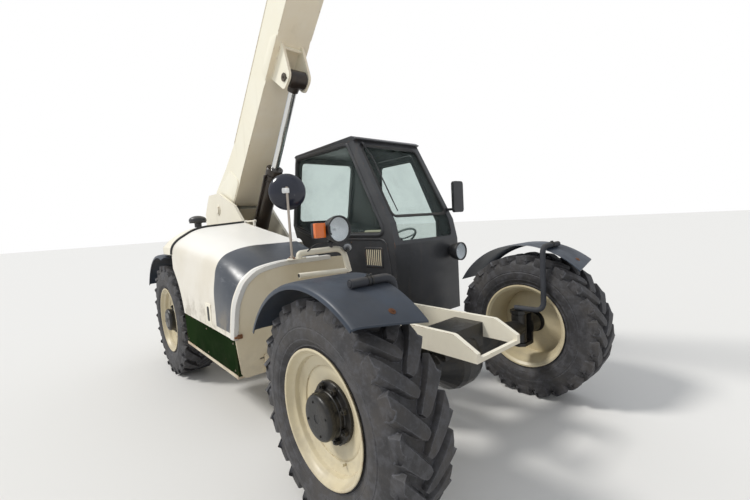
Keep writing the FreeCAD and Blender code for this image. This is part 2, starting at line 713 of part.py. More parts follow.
def bulkhead():
    """Front wall of the engine bay with its flange, and the bay's floor."""
    side = d.pod_side
    top = d.hood_front_z
    foot = 520
    edge = hood_points(HOOD_FRONT, top, 10)[1:-2]
    outline = [(side + 20, foot, 40), (side - 5, d.pod_low)] + edge + [
        (plate_right + 126, top - 14), (plate_right + 126, d.chassis_high + 22),
        (plate_right - d.plate_thick, d.chassis_high + 22), (plate_right - d.plate_thick, foot)]
    wall = pad("bulkhead_wall", "YZ", [outline], axle_x + d.pod_front - 12, 12.0)
    outer = hood_points(HOOD_FRONT, top, -5)[:-2]
    inner = hood_points(HOOD_FRONT, top, 28)[1:-2]
    lip_end = d.hood_inner_y + 60
    lip_out = outer + [(lip_end, top + 5), (lip_end, top - 28)] + inner[::-1] + [
        (outer[0][0] + 34, d.pod_low)]
    lip = pad("bulkhead_lip", "YZ", [lip_out], axle_x + d.pod_front - d.lip_depth + 6,
              "Dims.lip_depth")
    floor = box("bulkhead_floor", (axle_x + back + 720, d.pod_side + d.skirt_depth, d.outrigger_high),
                (axle_x + d.pod_front, plate_right - d.plate_thick, d.outrigger_high + 12))
    node("engine_bulkhead", fuse("engine_bulkhead", [wall, lip, floor]))


def engine_block():
    """One plain block where the engine sits."""
    node("engine_block", box("engine_block", (axle_x + back + 840, -900, d.outrigger_high + 12),
                             (axle_x - 1180, -470, 1130)))


def skirt():
    """Glossy side box under the hood."""
    low = d.skirt_low
    high = d.pod_low - 8
    rear = back + math.sqrt(d.arch_radius ** 2 - (high - d.axle_high) ** 2)
    outline = from_axle([(rear + 20, low, 20), (d.pod_front - 14, low, 20),
                         (d.pod_front - 14, high, 8), (rear, high, 8)])
    node("engine_skirt", pad("engine_skirt", "XZ", [outline], "Dims.pod_side",
                             "Dims.skirt_depth"))


def cowl():
    """Fixed cowl behind the hood, over the rear wheel, open below."""
    top = d.hood_rear_z
    wall = d.hood_wall
    low = top - 226
    edge = hood_points(HOOD_REAR, top, 0)[3:-2]
    outer = [(d.pod_side, low)] + edge + [(d.hood_inner_y, top), (d.hood_inner_y, low)]
    inner = [(d.pod_side + wall, low - 14)] + [(y + wall, z - wall) for y, z in edge] + [
        (d.hood_inner_y - 60, top - 8 - wall), (d.hood_inner_y - 60, low - 14)]
    length = hood_rear - 8 - cowl_rear
    shell = cut("rear_cowl", pad("cowl_outer", "YZ", [outer], axle_x + cowl_rear, length),
                [pad("cowl_inner", "YZ", [inner], axle_x + cowl_rear + wall, length)])
    bracket = box("cowl_bracket", (axle_x + cowl_rear + 60, d.hood_inner_y - 1, top - 226),
                  (axle_x + cowl_rear + 160, plate_right - d.plate_thick, top - 196))
    rod = cylinder("hood_rod", (axle_x + hood_rear + 125, d.hood_hinge_y, d.hood_hinge_z), (1, 0, 0),
                   "Dims.hood_rod", 310.0)
    seat_block = box("hood_rod_seat", (axle_x + hood_rear - 38, d.hood_hinge_y - 14, top - 12),
                     (axle_x + hood_rear - 8, d.hood_hinge_y + 10, d.hood_hinge_z + 12))
    node("rear_cowl", fuse("rear_cowl", [shell, bracket, rod, seat_block]))


def precleaner():
    """Mushroom-shaped intake cap on the cowl."""
    bend_y, bend_z = hood_points(HOOD_REAR, d.hood_rear_z, 0)[-3]
    top = bend_z + (d.hood_rear_z - bend_z) * (-756 - bend_y) / (d.hood_inner_y - bend_y) + d.pin_gap
    cap = turned("precleaner_turn", [
        (0, 0), (34, 0), (34, 40), (70, 50), (74, 90), (40, 116), (0, 120)], d.turned_sides)
    node("air_precleaner", cap, Placement(Vector(axle_x + back + 210, -790, top), Rotation(Vector(1, 0, 0), 90)))


hood()
bulkhead()
engine_block()
skirt()
cowl()
precleaner()

# Fenders


def arc_band(centre, inner, thick, start, end):
    """Outline of a curved band about a centre, between two angles in degrees."""
    outer = inner + thick

    def at(radius, angle):
        turn = math.radians(angle)
        return Vector(centre[0] + radius * math.cos(turn), centre[1] + radius * math.sin(turn), 0)

    middle = (start + end) / 2
    return [
        Part.Arc(at(outer, start), at(outer, middle), at(outer, end)),
        Part.LineSegment(at(outer, end), at(inner, end)),
        Part.Arc(at(inner, end), at(inner, middle), at(inner, start)),
        Part.LineSegment(at(inner, start), at(outer, start)),
    ]


def front_fender(name, side):
    """Curved shell that steers with its wheel, and the stay tube down to the knuckle."""
    shell = pad(name + "_shell", "XZ",
                [arc_band((axle_x, d.axle_high), d.fender_radius, d.fender_thick, 53, 149)],
                "Dims.fender_out - Dims.fender_width", "Dims.fender_width")
    lip = pad(name + "_lip", "XZ",
              [arc_band((axle_x, d.axle_high), d.fender_radius - 24, 26, 53, 149)],
              "Dims.fender_out - 8", 8.0)
    clear = d.fender_radius + d.fender_thick + d.stay_radius + d.pin_gap
    lie = d.axle_high + math.sqrt(clear ** 2 - 200 ** 2)
    inner = d.wheel_centre_y - d.tyre_width / 2 - d.stay_radius - 12
    foot = d.axle_high + d.boss_height / 2 + 30 + d.stay_radius + d.pin_gap
    stay = tube(name + "_stay", [
        (axle_x + 200, d.fender_out - 150, lie), (axle_x + 200, inner, lie),
        (axle_x + 200, inner, foot), (axle_x - 20, d.kingpin_y - 20, foot)],
        d.stay_radius, 60)
    pair = group(name + "_left", [fuse(name + "_skin", [shell, lip]), stay])
    node(name, pair if side > 0 else mirrored(name, pair))


def rear_fender(name, side):
    """Fixed shell over the back of a rear wheel with its bracket to the tower plate."""
    shell = pad(name + "_shell", "XZ",
                [arc_band((rear_x, d.axle_high), d.rear_fender_radius, d.fender_thick, 76, 151)],
                "Dims.fender_out - 20 - Dims.fender_width", "Dims.fender_width")
    crown = d.axle_high + d.rear_fender_radius
    reach = plate_left + d.plate_thick if side > 0 else -(plate_right - d.plate_thick)
    bar = box(name + "_bar", (rear_x - 60, reach, crown - 34),
              (rear_x, d.fender_out - 20 - d.fender_width + 60, crown + 3))
    pair = fuse(name + "_left", [shell, bar])
    node(name, pair if side > 0 else mirrored(name, pair))


front_fender("fender_front_right", -1)
front_fender("fender_front_left", 1)
rear_fender("fender_rear_right", -1)
rear_fender("fender_rear_left", 1)

# Cab

roof_under = d.cab_top - d.roof_thick
wall = d.cab_wall


def cab_outline(inset):
    """Side view of the cab, moved in by inset."""
    front = d.cab_front - inset
    rear_arch = back + d.arch_radius + 10
    low = d.cab_low + inset
    return from_axle([
        (front, low), (front, 1310), (front - 45, 1500), (back + 1594 - inset, roof_under),
        (back + 530 + inset, roof_under), (back + 370 + inset, 1520, 30), (back + 430 + inset, 1372 + inset),
        (back + 540 + inset, 1372 + inset, 120), (rear_arch + inset, 900, 200), (rear_arch + inset, low)])


door_rear = back + 880
DOOR = [(-960, 700, 40), (-960, 1330), (-1000, 1500), (back + 1540, roof_under - 70, 60),
        (back + 970, roof_under - 70, 60), (door_rear, 1500), (door_rear, 700, 40)]
SIDE_WINDOW = [(-930, 1410, 50), (back + 1486, roof_under - 24, 60), (back + 560, roof_under - 24, 60),
               (back + 430, 1500, 60), (back + 770, 1410, 40)]
DOOR_WINDOW = [(-1030, 980, 60), (-1030, 1480, 30), (back + 1520, roof_under - 130, 60),
               (back + 1020, roof_under - 130, 60), (back + 940, 980, 60)]


def inset_edges(points, amount):
    """Edges of a closed outline moved in by amount."""
    wire = Part.Wire([edge.toShape() for edge in corner_edges(points)])
    moved = wire.makeOffset2D(-amount)
    edges = []
    for edge in moved.OrderedEdges:
        first = edge.valueAt(edge.FirstParameter)
        last = edge.valueAt(edge.LastParameter)
        if edge.Curve.TypeId == "Part::GeomCircle":
            middle = edge.valueAt((edge.FirstParameter + edge.LastParameter) / 2)
            edges.append(Part.Arc(first, middle, last))
        else:
            edges.append(Part.LineSegment(first, last))
    return edges


def screen_opening(name, low, radius, start, length, gap):
    """Block that cuts the front or rear opening, or its pane where gap is more than 0."""
    y0 = d.cab_right + 70 + gap
    y1 = d.cab_left - 70 - gap
    top = roof_under - 50 - gap
    return pad(name, "YZ", [[(y0, low + gap, radius), (y1, low + gap, radius), (y1, top, radius),
                             (y0, top, radius)]], start, length)


def hinge_half(name, z, ahead):
    """Half of a door hinge: its barrel and the leaf screwed to the door or to the frame."""
    barrel = cylinder(name + "_barrel", (axle_x + door_rear - 2, d.cab_left + d.hinge_radius + 1, z + 25),
                      (0, 0, 1), "Dims.hinge_radius", 50.0)
    x = axle_x + door_rear - 2
    x0 = x + d.door_gap if ahead > 0 else x - 44
    leaf = box(name + "_leaf", (x0, d.cab_left - 1, z), (x0 + 44, d.cab_left + 5, z + 50))
    return [barrel, leaf]


screen_rear = axle_x + back + 1450
screen_run = d.cab_front + 40 - back - 1450


def cab_frame():
    """Hollow cab under its roof, with the side, front and rear windows and the doorway cut."""
    outer = pad("cab_outer", "XZ", [cab_outline(0)], "Dims.cab_right", "Dims.cab_left - Dims.cab_right")
    inner = pad("cab_inner", "XZ", [from_axle([
        (d.cab_front - wall, d.cab_low + wall), (d.cab_front - wall, 1310), (d.cab_front - wall - 45, 1500),
        (back + 1594 - wall, roof_under + 1), (back + 530 + wall, roof_under + 1), (back + 370 + wall, 1530),
        (back + 420 + wall, 1372 + wall), (back + 610, 1372 + wall, 60), (back + 730 + wall, 1000, 60),
        (back + 730 + wall, d.cab_low + wall)])], "Dims.cab_right + Dims.cab_wall",
        "Dims.cab_left - Dims.cab_right - 2 * Dims.cab_wall")
    doorway = pad("cab_doorway", "XZ", [from_axle(DOOR)], "Dims.cab_left - Dims.cab_wall - 1",
                  "Dims.cab_wall + 2")
    side = pad("cab_side_window", "XZ", [from_axle(SIDE_WINDOW)], "Dims.cab_right - 1",
               "Dims.cab_wall + 2")
    screen = screen_opening("cab_screen", 1340, 50, screen_rear, screen_run, 0)
    rear = screen_opening("cab_rear_window", 1560, 50, axle_x + back + 330, 240, 0)
    shell = cut("cab_shell", outer, [inner, doorway, side, screen, rear])
    knuckles = []
    for i, z in enumerate((900, 1400)):
        knuckles += hinge_half("frame_hinge_%d" % i, z, -1)
    node("cab_frame", fuse("cab_frame", [shell] + knuckles))


def cab_roof():
    """Roof panel with rounded edges over the frame."""
    outline = from_axle([
        (back + 1594, roof_under), (back + 1630, roof_under + 14), (back + 1570, d.cab_top, 60),
        (back + 540, d.cab_top - 16, 30), (back + 500, roof_under + 14), (back + 525, roof_under)])
    node("cab_roof", pad("cab_roof", "XZ", [outline], "Dims.cab_right", "Dims.cab_left - Dims.cab_right"))


def cab_glazing():
    """Fixed panes in the right side, front and rear openings."""
    gap = d.pin_gap
    thick = d.glass_thick
    side = pad("pane_side", "XZ", [inset_edges(from_axle(SIDE_WINDOW), gap)],
               "Dims.cab_right + Dims.cab_wall / 2", "Dims.glass_thick")
    inset = d.cab_wall / 2
    width = d.cab_left - d.cab_right
    # Sheets that follow the front and rear faces halfway into the frame
    sheets = []
    for name, line in (
            ("pane_front", [(d.cab_front - inset, 1310), (d.cab_front - 45 - inset, 1500),
                            (back + 1594 - inset, roof_under)]),
            ("pane_rear", [(back + 370 + inset, 1520), (back + 530 + inset, roof_under)])):
        outline = line + [(x - thick, z) for x, z in reversed(line)]
        sheets.append(pad(name + "_sheet", "XZ", [from_axle(outline)], d.cab_right, width))
    openings = [screen_opening("pane_front_edge", 1340, 50, screen_rear, screen_run, gap),
                screen_opening("pane_rear_edge", 1560, 50, axle_x + back + 330, 240, gap)]
    panes = [side]
    for sheet_piece, opening in zip(sheets, openings):
        pane = doc.addObject("Part::Common", sheet_piece.Name + "_pane")
        pane.Base = sheet_piece
        pane.Tool = opening
        panes.append(pane)
    node("cab_glazing", group("cab_glazing", panes))


def cab_door():
    """Glazed door in the left side, hinged at its rear edge."""
    leaf = pad("door_leaf", "XZ", [inset_edges(from_axle(DOOR), d.door_gap)],
               "Dims.cab_left - Dims.cab_wall", "Dims.cab_wall")
    opening = pad("door_opening", "XZ", [from_axle(DOOR_WINDOW)],
                  "Dims.cab_left - Dims.cab_wall - 1", "Dims.cab_wall + 2")
    knuckles = []
    for i, z in enumerate((900, 1400)):
        knuckles += hinge_half("door_hinge_%d" % i, z + 50 + d.pin_gap, 1)
    # Handle: a bar on two feet near the door's front edge
    handle = [box("door_handle", (axle_x - 1010, d.cab_left + 24, 1090), (axle_x - 990, d.cab_left + 36, 1230))]
    handle += [box("door_handle_foot_%d" % i, (axle_x - 1008, d.cab_left - 1, z), (axle_x - 992, d.cab_left + 26, z + 16))
               for i, z in enumerate((1096, 1208))]
    node("cab_door", fuse("cab_door", [cut("door_frame", leaf, [opening])] + knuckles + handle))
    node("door_glass", pad("door_glass", "XZ", [inset_edges(from_axle(DOOR_WINDOW), d.pin_gap)],
                           "Dims.cab_left - Dims.cab_wall / 2", "Dims.glass_thick"))


cab_middle = (d.cab_left + d.cab_right) / 2
floor_top = d.cab_low + wall


def seat_and_controls():
    """Driver's seat on its box, dash with its column, and the steering wheel."""
    y = cab_middle
    x = seat_x
    base = box("seat_box", (axle_x + x - 190, y - 210, floor_top), (axle_x + x + 200, y + 210, floor_top + 250))
    cushion = pad("seat_shape", "XZ", [from_axle([
        (x - 210, floor_top + 250), (x + 250, floor_top + 250, 40), (x + 250, floor_top + 350, 50),
        (x - 90, floor_top + 350, 40), (x - 190, floor_top + 850, 60), (x - 300, floor_top + 850, 50)])],
        y - 230, 460.0)
    node("seat", fuse("seat", [base, cushion]))
    front = d.cab_front - wall
    console = pad("dash_shape", "XZ", [from_axle([
        (front, floor_top), (front, 1260, 30), (front - 150, 1290, 40), (front - 230, 1180, 40),
        (front - 150, floor_top, 30)])], y - 300, 600.0)
    column = cylinder("dash_column", (axle_x + front - 250, y, 1190), (-0.45, 0, 0.6), 32.0, 300.0)
    node("dash", fuse("dash", [console, column]))
    reach = 150 + 9 + d.pin_gap
    rim_at = Vector(axle_x + front - 250 - 0.6 * reach, y, 1190 + 0.8 * reach)
    hoop = turned("steering_ring", [(171, 0), (178, -12), (192, -12), (199, 0), (192, 12), (178, 12)],
                  d.turned_sides)
    hoop.Placement = Placement(Vector(0, 0, 0), Rotation(Vector(1, 0, 0), 90))
    spokes = [box("steering_spoke_%d" % i, (-185, -14, -9), (185, 14, 9)) for i in range(2)]
    spokes[1].Placement = Placement(Vector(0, 0, 0), Rotation(Vector(0, 0, 1), 90)).multiply(
        spokes[1].Placement)
    wheel = fuse("steering_wheel", [hoop] + spokes)
    node("steering_wheel", wheel, Placement(rim_at, Rotation(Vector(0, 0, 1), Vector(-0.6, 0, 0.8))))


cab_frame()
cab_roof()
cab_glazing()
cab_door()
seat_and_controls()


def fuel_tank():
    """Tank under the cab, between the wheels, hung from the side beams."""
    outline = [(330, 380, 60), (1010, 380, 60), (1010, d.outrigger_high - d.outrigger_size, 20),
               (330, d.outrigger_high - d.outrigger_size, 20)]
    node("fuel_tank", pad("fuel_tank", "YZ", [outline], axle_x + back + 780, -1110 - back - 780))


def cab_step():
    """Step below the door on two hangers."""
    low = d.cab_low - d.pin_gap
    tread = box("step_tread", (axle_x - 1500, 1020, 420), (axle_x - 1180, d.cab_left, 436))
    hangers = [box("step_hanger_%d" % i, (axle_x + x, 1020, 420), (axle_x + x + 12, d.cab_left - 10, low))
               for i, x in enumerate((-1500, -1192))]
    node("cab_step", fuse("cab_step", [tread] + hangers))


def tail_lamps():
    """Two lamp boxes on the counterweight's shoulders."""
    seat_z = 1210 + d.pin_gap
    x = axle_x + rear_end + 30
    lamps = [box("tail_lamp_%d" % i, (x, y, seat_z), (x + 60, y + 140, seat_z + 90))
             for i, y in enumerate((-700, 560))]
    node("tail_lamps", group("tail_lamps", lamps))


fuel_tank()
cab_step()
tail_lamps()

# Lamps and mirrors


def lamp_bracket():
    """Clamp plate on the bulkhead's flange, bent tube and the mirror's rod."""
    x = axle_x - 900
    z = d.hood_front_z + 5 + d.pin_gap
    plate = pad("clamp_plate", "XY", [[
        (x - 70, -690), (x - 40, -720), (x + 10, -720), (x + 40, -690), (x + 40, -610), (x + 10, -580),
        (x - 40, -580), (x - 70, -610)]], z + 6, 10.0)
    strap = box("clamp_strap", (x - 90, -690, z), (x - 30, -610, z + 10))
    arm = tube("bracket_arm", [(x + 20, -650, z + 40), (x + 110, -330, z + 60), (x + 130, -300, z - 120)], 22, 60)
    post = cylinder("bracket_post", (x + 20, -650, z + 30), (0, 0, 1), 14.0, 40.0)
    rod = cylinder("mirror_rod", (x - 10, -690, z + 260), (0, 0, 1), 9.0, 520.0)
    stalk_top = d.lamp_high - 88
    stalk = cylinder("lamp_stalk", (x + 88, -420, (z + 46 + stalk_top) / 2), (0, 0, 1), 14.0,
                     max(stalk_top - z - 46, 20))
    node("lamp_bracket", fuse("lamp_bracket", [plate, strap, arm, post, rod, stalk]))


def mirrors():
    """Round mirror on the rod over the engine bay, and a flat one beside the windscreen."""
    rod = Vector(axle_x - 910, -690, d.hood_front_z + 494)
    away = Vector(math.sin(math.radians(60)), -math.cos(math.radians(60)), 0)
    bowl = turned("mirror_bowl", [(0, -42), (60, -38), (112, -16), (d.mirror_radius, 4),
                                  (d.mirror_radius, 14), (0, 14)], d.turned_sides)
    node("mirror_right", bowl, Placement(rod - away * (42 + 9 + d.pin_gap), Rotation(Vector(0, 0, 1), 60)))
    plate = pad("mirror_plate", "YZ", [[(1000, 1560, 30), (1150, 1560, 30), (1150, 1860, 30),
                                       (1000, 1860, 30)]], axle_x + d.cab_front + 10, 30.0)
    lean = (back + 1594 - (d.cab_front - 45)) / (roof_under - 1500)
    low_x = d.cab_front - 45 + lean * 80 + d.pin_gap
    high_x = d.cab_front - 45 + lean * 104 + d.pin_gap
    ahead = d.cab_front + 15
    arm = pad("mirror_arm", "XZ", [from_axle([(low_x, 1580), (ahead, 1580), (ahead, 1604), (high_x, 1604)])],
              1040, 20.0)
    node("mirror_left", fuse("mirror_left", [plate, arm]))


lamp_section = [(0, -110), (44, -100), (d.lamp_radius - 12, -56), (d.lamp_radius, 0),
                (d.lamp_radius, 22), (0, 22)]


def headlamps():
    """Round headlamps with their indicator boxes, one on each side."""
    z = d.lamp_high
    body = turned("headlamp_body", lamp_section, d.turned_sides)
    body.Placement = Placement(Vector(axle_x - 740, -420, z), Rotation(Vector(0, 0, 1), -90))
    side = box("indicator_box", (axle_x - 800, -560, z - 46), (axle_x - 740, -510, z + 44))
    link = box("indicator_link", (axle_x - 795, -520, z - 24), (axle_x - 770, -470, z + 22))
    foot = cylinder("lamp_foot", (axle_x - 808, -425, z - 57), (0, 0, 1), 16.0, 61.0)
    node("headlamp_right", fuse("headlamp_right", [body, side, link, foot]))
    other = turned("headlamp_shell", lamp_section, d.turned_sides)
    other.Placement = Placement(Vector(axle_x - 690, 960, 1190), Rotation(Vector(0, 0, 1), -90))
    node("headlamp_left", other)


lamp_bracket()
mirrors()
headlamps()

# Boom, in its own frame: s along the boom, t across it, pivot at the origin

boom_place = Placement(Vector(axle_x + pivot_x, 0, d.pivot_z),
                       Rotation(Vector(0, 1, 0), -d.boom_angle))
half_boom = d.boom_width / 2
inner_top = d.boom_top - d.boom_wall - d.wear_gap
inner_bottom = d.boom_bottom + d.boom_wall + d.wear_gap
half_inner = half_boom - d.boom_wall - d.wear_gap


def wear_pads(name, start, length, out_y, out_top, out_bottom, in_y, in_top, in_bottom):
    """Slide pads that fill the space between the two booms: top, bottom, right and left."""
    y = d.boom_y
    low = min(in_bottom, out_bottom)
    high = max(in_top, out_top)
    return [
        box(name + "_top", (start, y - 90, min(in_top, out_top)), (start + length, y + 90, high)),
        box(name + "_bottom", (start, y - 90, low), (start + length, y + 90, max(in_bottom, out_bottom))),
        box(name + "_right", (start, y - max(in_y, out_y), low + 60),
            (start + length, y - min(in_y, out_y), high - 60)),
        box(name + "_left", (start, y + min(in_y, out_y), low + 60),
            (start + length, y + max(in_y, out_y), high - 60)),
    ]


def boom_outer():
    """Welded box with a deeper rear end, pivot bushing and the lift cylinder's clevis."""
    top = d.boom_top
    bottom = d.boom_bottom
    end = d.boom_length
    outline = [(-150, -110, 60), (-170, 130, 60), (40, 300, 40), (490, 185, 300), (900, top, 600),
               (end, top), (end, bottom), (300, bottom, 200), (0, -170, 80)]
    shape = pad("boom_shape", "XZ", [outline], "Dims.boom_y - Dims.boom_width / 2", "Dims.boom_width")
    wall = d.boom_wall
    hollow = pad("boom_hollow", "XZ", [[
        (200, bottom + wall), (end + 1, bottom + wall), (end + 1, top - wall), (200, top - wall)]],
        "Dims.boom_y - Dims.boom_width / 2 + Dims.boom_wall", "Dims.boom_width - 2 * Dims.boom_wall")
    bore = cylinder("boom_bore", (0, d.boom_y, 0), (0, 1, 0), "Dims.pivot_radius + Dims.pin_gap",
                    "Dims.boom_width + 2")
    ears = []
    s = d.lift_eye_s
    t = d.lift_eye_t
    for i, y in enumerate((d.boom_y - d.lift_eye_width / 2 - 34, d.boom_y + d.lift_eye_width / 2 + 10)):
        ears.append(pad("boom_ear_%d" % i, "XZ", [[
            (s - 130, bottom + 5), (s - 90, t - 60, 50), (s + 60, t - 80, 70), (s + 230, bottom + 5)]],
            y, 24.0))
        ears.append(cylinder("boom_ear_cap_%d" % i, (s, y + 12, t), (0, 1, 0), 52.0, 24.0))
    solid = cut("boom_box", shape, [hollow, bore])
    pads = wear_pads("outer_pad", end - 170, 150, half_boom - wall, top - wall, bottom + wall,
                     half_inner + d.pin_gap, inner_top + d.pin_gap, inner_bottom - d.pin_gap)
    node("boom_outer", fuse("boom_outer", [solid] + ears + pads), boom_place)


def boom_inner():
    """Inner boom with its bent-down head of two cheek plates."""
    start = d.inner_start
    end = d.inner_length
    wall = d.boom_wall
    bar = pad("inner_shape", "XZ", [[(start, inner_bottom), (end, inner_bottom), (end, inner_top),
                                    (start, inner_top)]],
              d.boom_y - half_inner, 2 * half_inner)
    hollow = pad("inner_hollow", "XZ", [[
        (start - 1, inner_bottom + wall), (end - 120, inner_bottom + wall),
        (end - 120, inner_top - wall), (start - 1, inner_top - wall)]],
        d.boom_y - half_inner + wall, 2 * half_inner - 2 * wall)
    hs = d.head_s
    ht = -d.head_drop
    cheeks = []
    for i, y in enumerate((d.boom_y - d.cheek_gap / 2 - d.cheek_thick, d.boom_y + d.cheek_gap / 2)):
        cheeks.append(pad("head_cheek_%d" % i, "XZ", [[
            (end - 420, inner_bottom + 10), (end - 330, inner_bottom - 140, 150), (hs - 150, ht + 160, 120),
            (hs - 60, ht - 66, 60), (hs + 66, ht - 30, 62), (end + 230, inner_bottom - 180, 200),
            (end + 90, inner_top - 60, 120), (end - 60, inner_top, 60), (end - 420, inner_top)]],
            y, "Dims.cheek_thick"))
    base = cylinder("head_pin", (d.tilt_base_s, d.boom_y, d.tilt_base_t), (0, 1, 0),
                    "Dims.tilt_rod_radius", "Dims.cheek_gap + 2 * Dims.cheek_thick")
    pads = wear_pads("inner_pad", start, 150, half_boom - d.boom_wall - d.pin_gap,
                     d.boom_top - d.boom_wall - d.pin_gap, d.boom_bottom + d.boom_wall + d.pin_gap,
                     half_inner, inner_top, inner_bottom)
    tube_body = cut("inner_tube", bar, [hollow])
    slot = pad("inner_slot", "XZ", [[
        (end - 400, inner_bottom - 10), (end + 10, inner_bottom - 10), (end + 10, inner_top - 60),
        (end - 400, inner_top - 60)]], d.boom_y - d.cheek_gap / 2, "Dims.cheek_gap")
    joined = fuse("inner_joined", [cut("inner_open", tube_body, [slot])] + cheeks)
    hole = cylinder("head_bore", (hs, d.boom_y, ht), (0, 1, 0), "Dims.fork_pin_radius + Dims.pin_gap",
                    "Dims.cheek_gap + 2 * Dims.cheek_thick + 2")
    node("boom_inner", fuse("boom_inner", [cut("inner_bored", joined, [hole]), base] + pads), boom_place)


boom_outer()
boom_inner()

# Hydraulic cylinders, each made along X from its base pin

eye_x = pivot_x + d.lift_eye_s * boom_cos - d.lift_eye_t * boom_sin
eye_z = d.pivot_z + d.lift_eye_s * boom_sin + d.lift_eye_t * boom_cos
lift_length = math.hypot(eye_x - lift_base_x, eye_z - d.lift_base_z)
lift_angle = math.degrees(math.atan2(eye_z - d.lift_base_z, eye_x - lift_base_x))


def ram_place(x, z, angle):
    """Place of a cylinder on its base pin, raised by an angle."""
    return Placement(Vector(axle_x + x, d.boom_y, z), Rotation(Vector(0, 1, 0), -angle))


def barrel(name, pin_radius, eye_radius, eye_width, outer, rod_radius, length, place, extra=()):
    """Cylinder barrel with its base eye, hollow for the rod, and what is welded to it."""
    corner = math.cos(math.pi / d.turned_sides)
    inside = outer * 0.82 / corner
    gland = (rod_radius + d.pin_gap) / corner
    body = turned(name + "_turn", [
        (0, eye_radius * 0.6), (outer, eye_radius * 0.6), (outer, length - 60), (outer + 8, length - 60),
        (outer + 8, length), (gland, length), (gland, length - 60), (inside, length - 60),
        (inside, eye_radius + 30), (0, eye_radius + 30)], d.turned_sides)
    body.Placement = Placement(Vector(0, 0, 0), Rotation(Vector(0, 0, 1), -90))
    eye = cylinder(name + "_eye", (0, 0, 0), (0, 1, 0), eye_radius, eye_width)
    bore = cylinder(name + "_bore", (0, 0, 0), (0, 1, 0), pin_radius + d.pin_gap, eye_width + 2)
    whole_barrel = fuse(name + "_whole", [body, eye] + list(extra))
    return node(name, cut(name, whole_barrel, [bore]), place)


def ram_rod(name, eye_radius, eye_width, rod_radius, piston_radius, length, reach, place):
    """Rod with its piston and solid eye, the eye's centre at reach."""
    body = revolve(name + "_turn", [
        (reach - length, 0), (reach - length, piston_radius), (reach - length + 50, piston_radius),
        (reach - length + 50, rod_radius), (reach - eye_radius * 0.5, rod_radius),
        (reach - eye_radius * 0.5, 0)], "H_Axis")
    eye = cylinder(name + "_eye", (reach, 0, 0), (0, 1, 0), eye_radius, eye_width)
    return node(name, fuse(name, [body, eye]), place)


lift_place = ram_place(lift_base_x, d.lift_base_z, lift_angle)
pipe_run = d.lift_barrel_length - 200
pipe_side = -d.lift_barrel_radius - 14
pipe = [cylinder("lift_pipe", (120 + pipe_run / 2, pipe_side, 0), (1, 0, 0), 12.0, pipe_run)]
pipe += [box("lift_pipe_clip_%d" % i, (x, pipe_side - 10, -12), (x + 30, pipe_side + 24, 12))
         for i, x in enumerate((140, pipe_run * 0.5, pipe_run + 80))]
barrel("lift_barrel", d.pivot_radius - 7, d.lift_eye_radius, d.lift_eye_width, d.lift_barrel_radius,
       d.lift_rod_radius, d.lift_barrel_length, lift_place, pipe)
ram_rod("lift_rod", d.lift_eye_radius, d.lift_eye_width, d.lift_rod_radius,
        d.lift_barrel_radius * 0.82 - d.pin_gap, d.lift_rod_length, lift_length, lift_place)

base_x = pivot_x + d.tilt_base_s * boom_cos - d.tilt_base_t * boom_sin
base_z = d.pivot_z + d.tilt_base_s * boom_sin + d.tilt_base_t * boom_cos
arm_turn = math.radians(d.tilt_arm_angle)
tilt_eye_x = fork_pin_x + d.tilt_arm * math.cos(arm_turn)
tilt_eye_z = fork_pin_z + d.tilt_arm * math.sin(arm_turn)
tilt_length = math.hypot(tilt_eye_x - base_x, tilt_eye_z - base_z)
tilt_angle = math.degrees(math.atan2(tilt_eye_z - base_z, tilt_eye_x - base_x))
tilt_place = ram_place(base_x, base_z, tilt_angle)
barrel("tilt_barrel", d.tilt_rod_radius, d.tilt_eye_radius + 12, 80.0, d.tilt_barrel_radius,
       d.tilt_rod_radius, d.tilt_barrel_length, tilt_place)
ram_rod("tilt_rod", d.tilt_eye_radius, 50.0, d.tilt_rod_radius,
        d.tilt_barrel_radius * 0.82 - d.pin_gap, d.tilt_rod_length, tilt_length, tilt_place)


def carriage():
    """Fork carriage: two rails, uprights, ears on the fork pivot and the tilt arm."""
    x = axle_x + fork_pin_x
    z = fork_pin_z
    y = d.boom_y
    front = x + d.fork_back
    low = z - d.fork_low + 70
    half = d.carriage_width / 2
    rails = [box("carriage_rail_%d" % i, (front - 30, y - half, z0), (front, y + half, z0 + 90))
             for i, z0 in enumerate((low, low + d.carriage_high - 90))]
    posts = [box("carriage_post_%d" % i, (front - 60, y + y0, low), (front - 28, y + y0 + 60, low + d.carriage_high))
             for i, y0 in enumerate((-half + 40, -160, 100, half - 100))]
    ears = []
    outside = d.cheek_gap / 2 + d.cheek_thick + 8
    for i, y0 in enumerate((y - outside - 22, y + outside)):
        ears.append(pad("carriage_ear_%d" % i, "XZ", [[
            (x - 56, z - 50, 52), (x - 50, z + 56, 52), (front - 30, z + 210), (front - 30, z - 200)]],
            y0, 22.0))
    pin = cylinder("fork_pin", (x, y, z), (0, 1, 0), "Dims.fork_pin_radius", 2 * outside + 60)
    arm_at = Vector(axle_x + tilt_eye_x, 0, tilt_eye_z)
    arms = []
    for i, y0 in enumerate((y - 58, y + 34)):
        away = Vector(x, 0, z) - arm_at
        side = Vector(-away.z, 0, away.x).normalize() * 40
        tip = arm_at - away.normalize() * 44
        away = Vector(x, 0, z)
        arms.append(pad("tilt_arm_%d" % i, "XZ", [[
            (tip.x + side.x, tip.z + side.z, 36), (tip.x - side.x, tip.z - side.z, 36),
            (away.x - side.x * 1.3, away.z - side.z * 1.3), (away.x + side.x * 1.3, away.z + side.z * 1.3)]],
            y0, 24.0))
    node("carriage", fuse("carriage", rails + posts + ears + arms + [pin]))


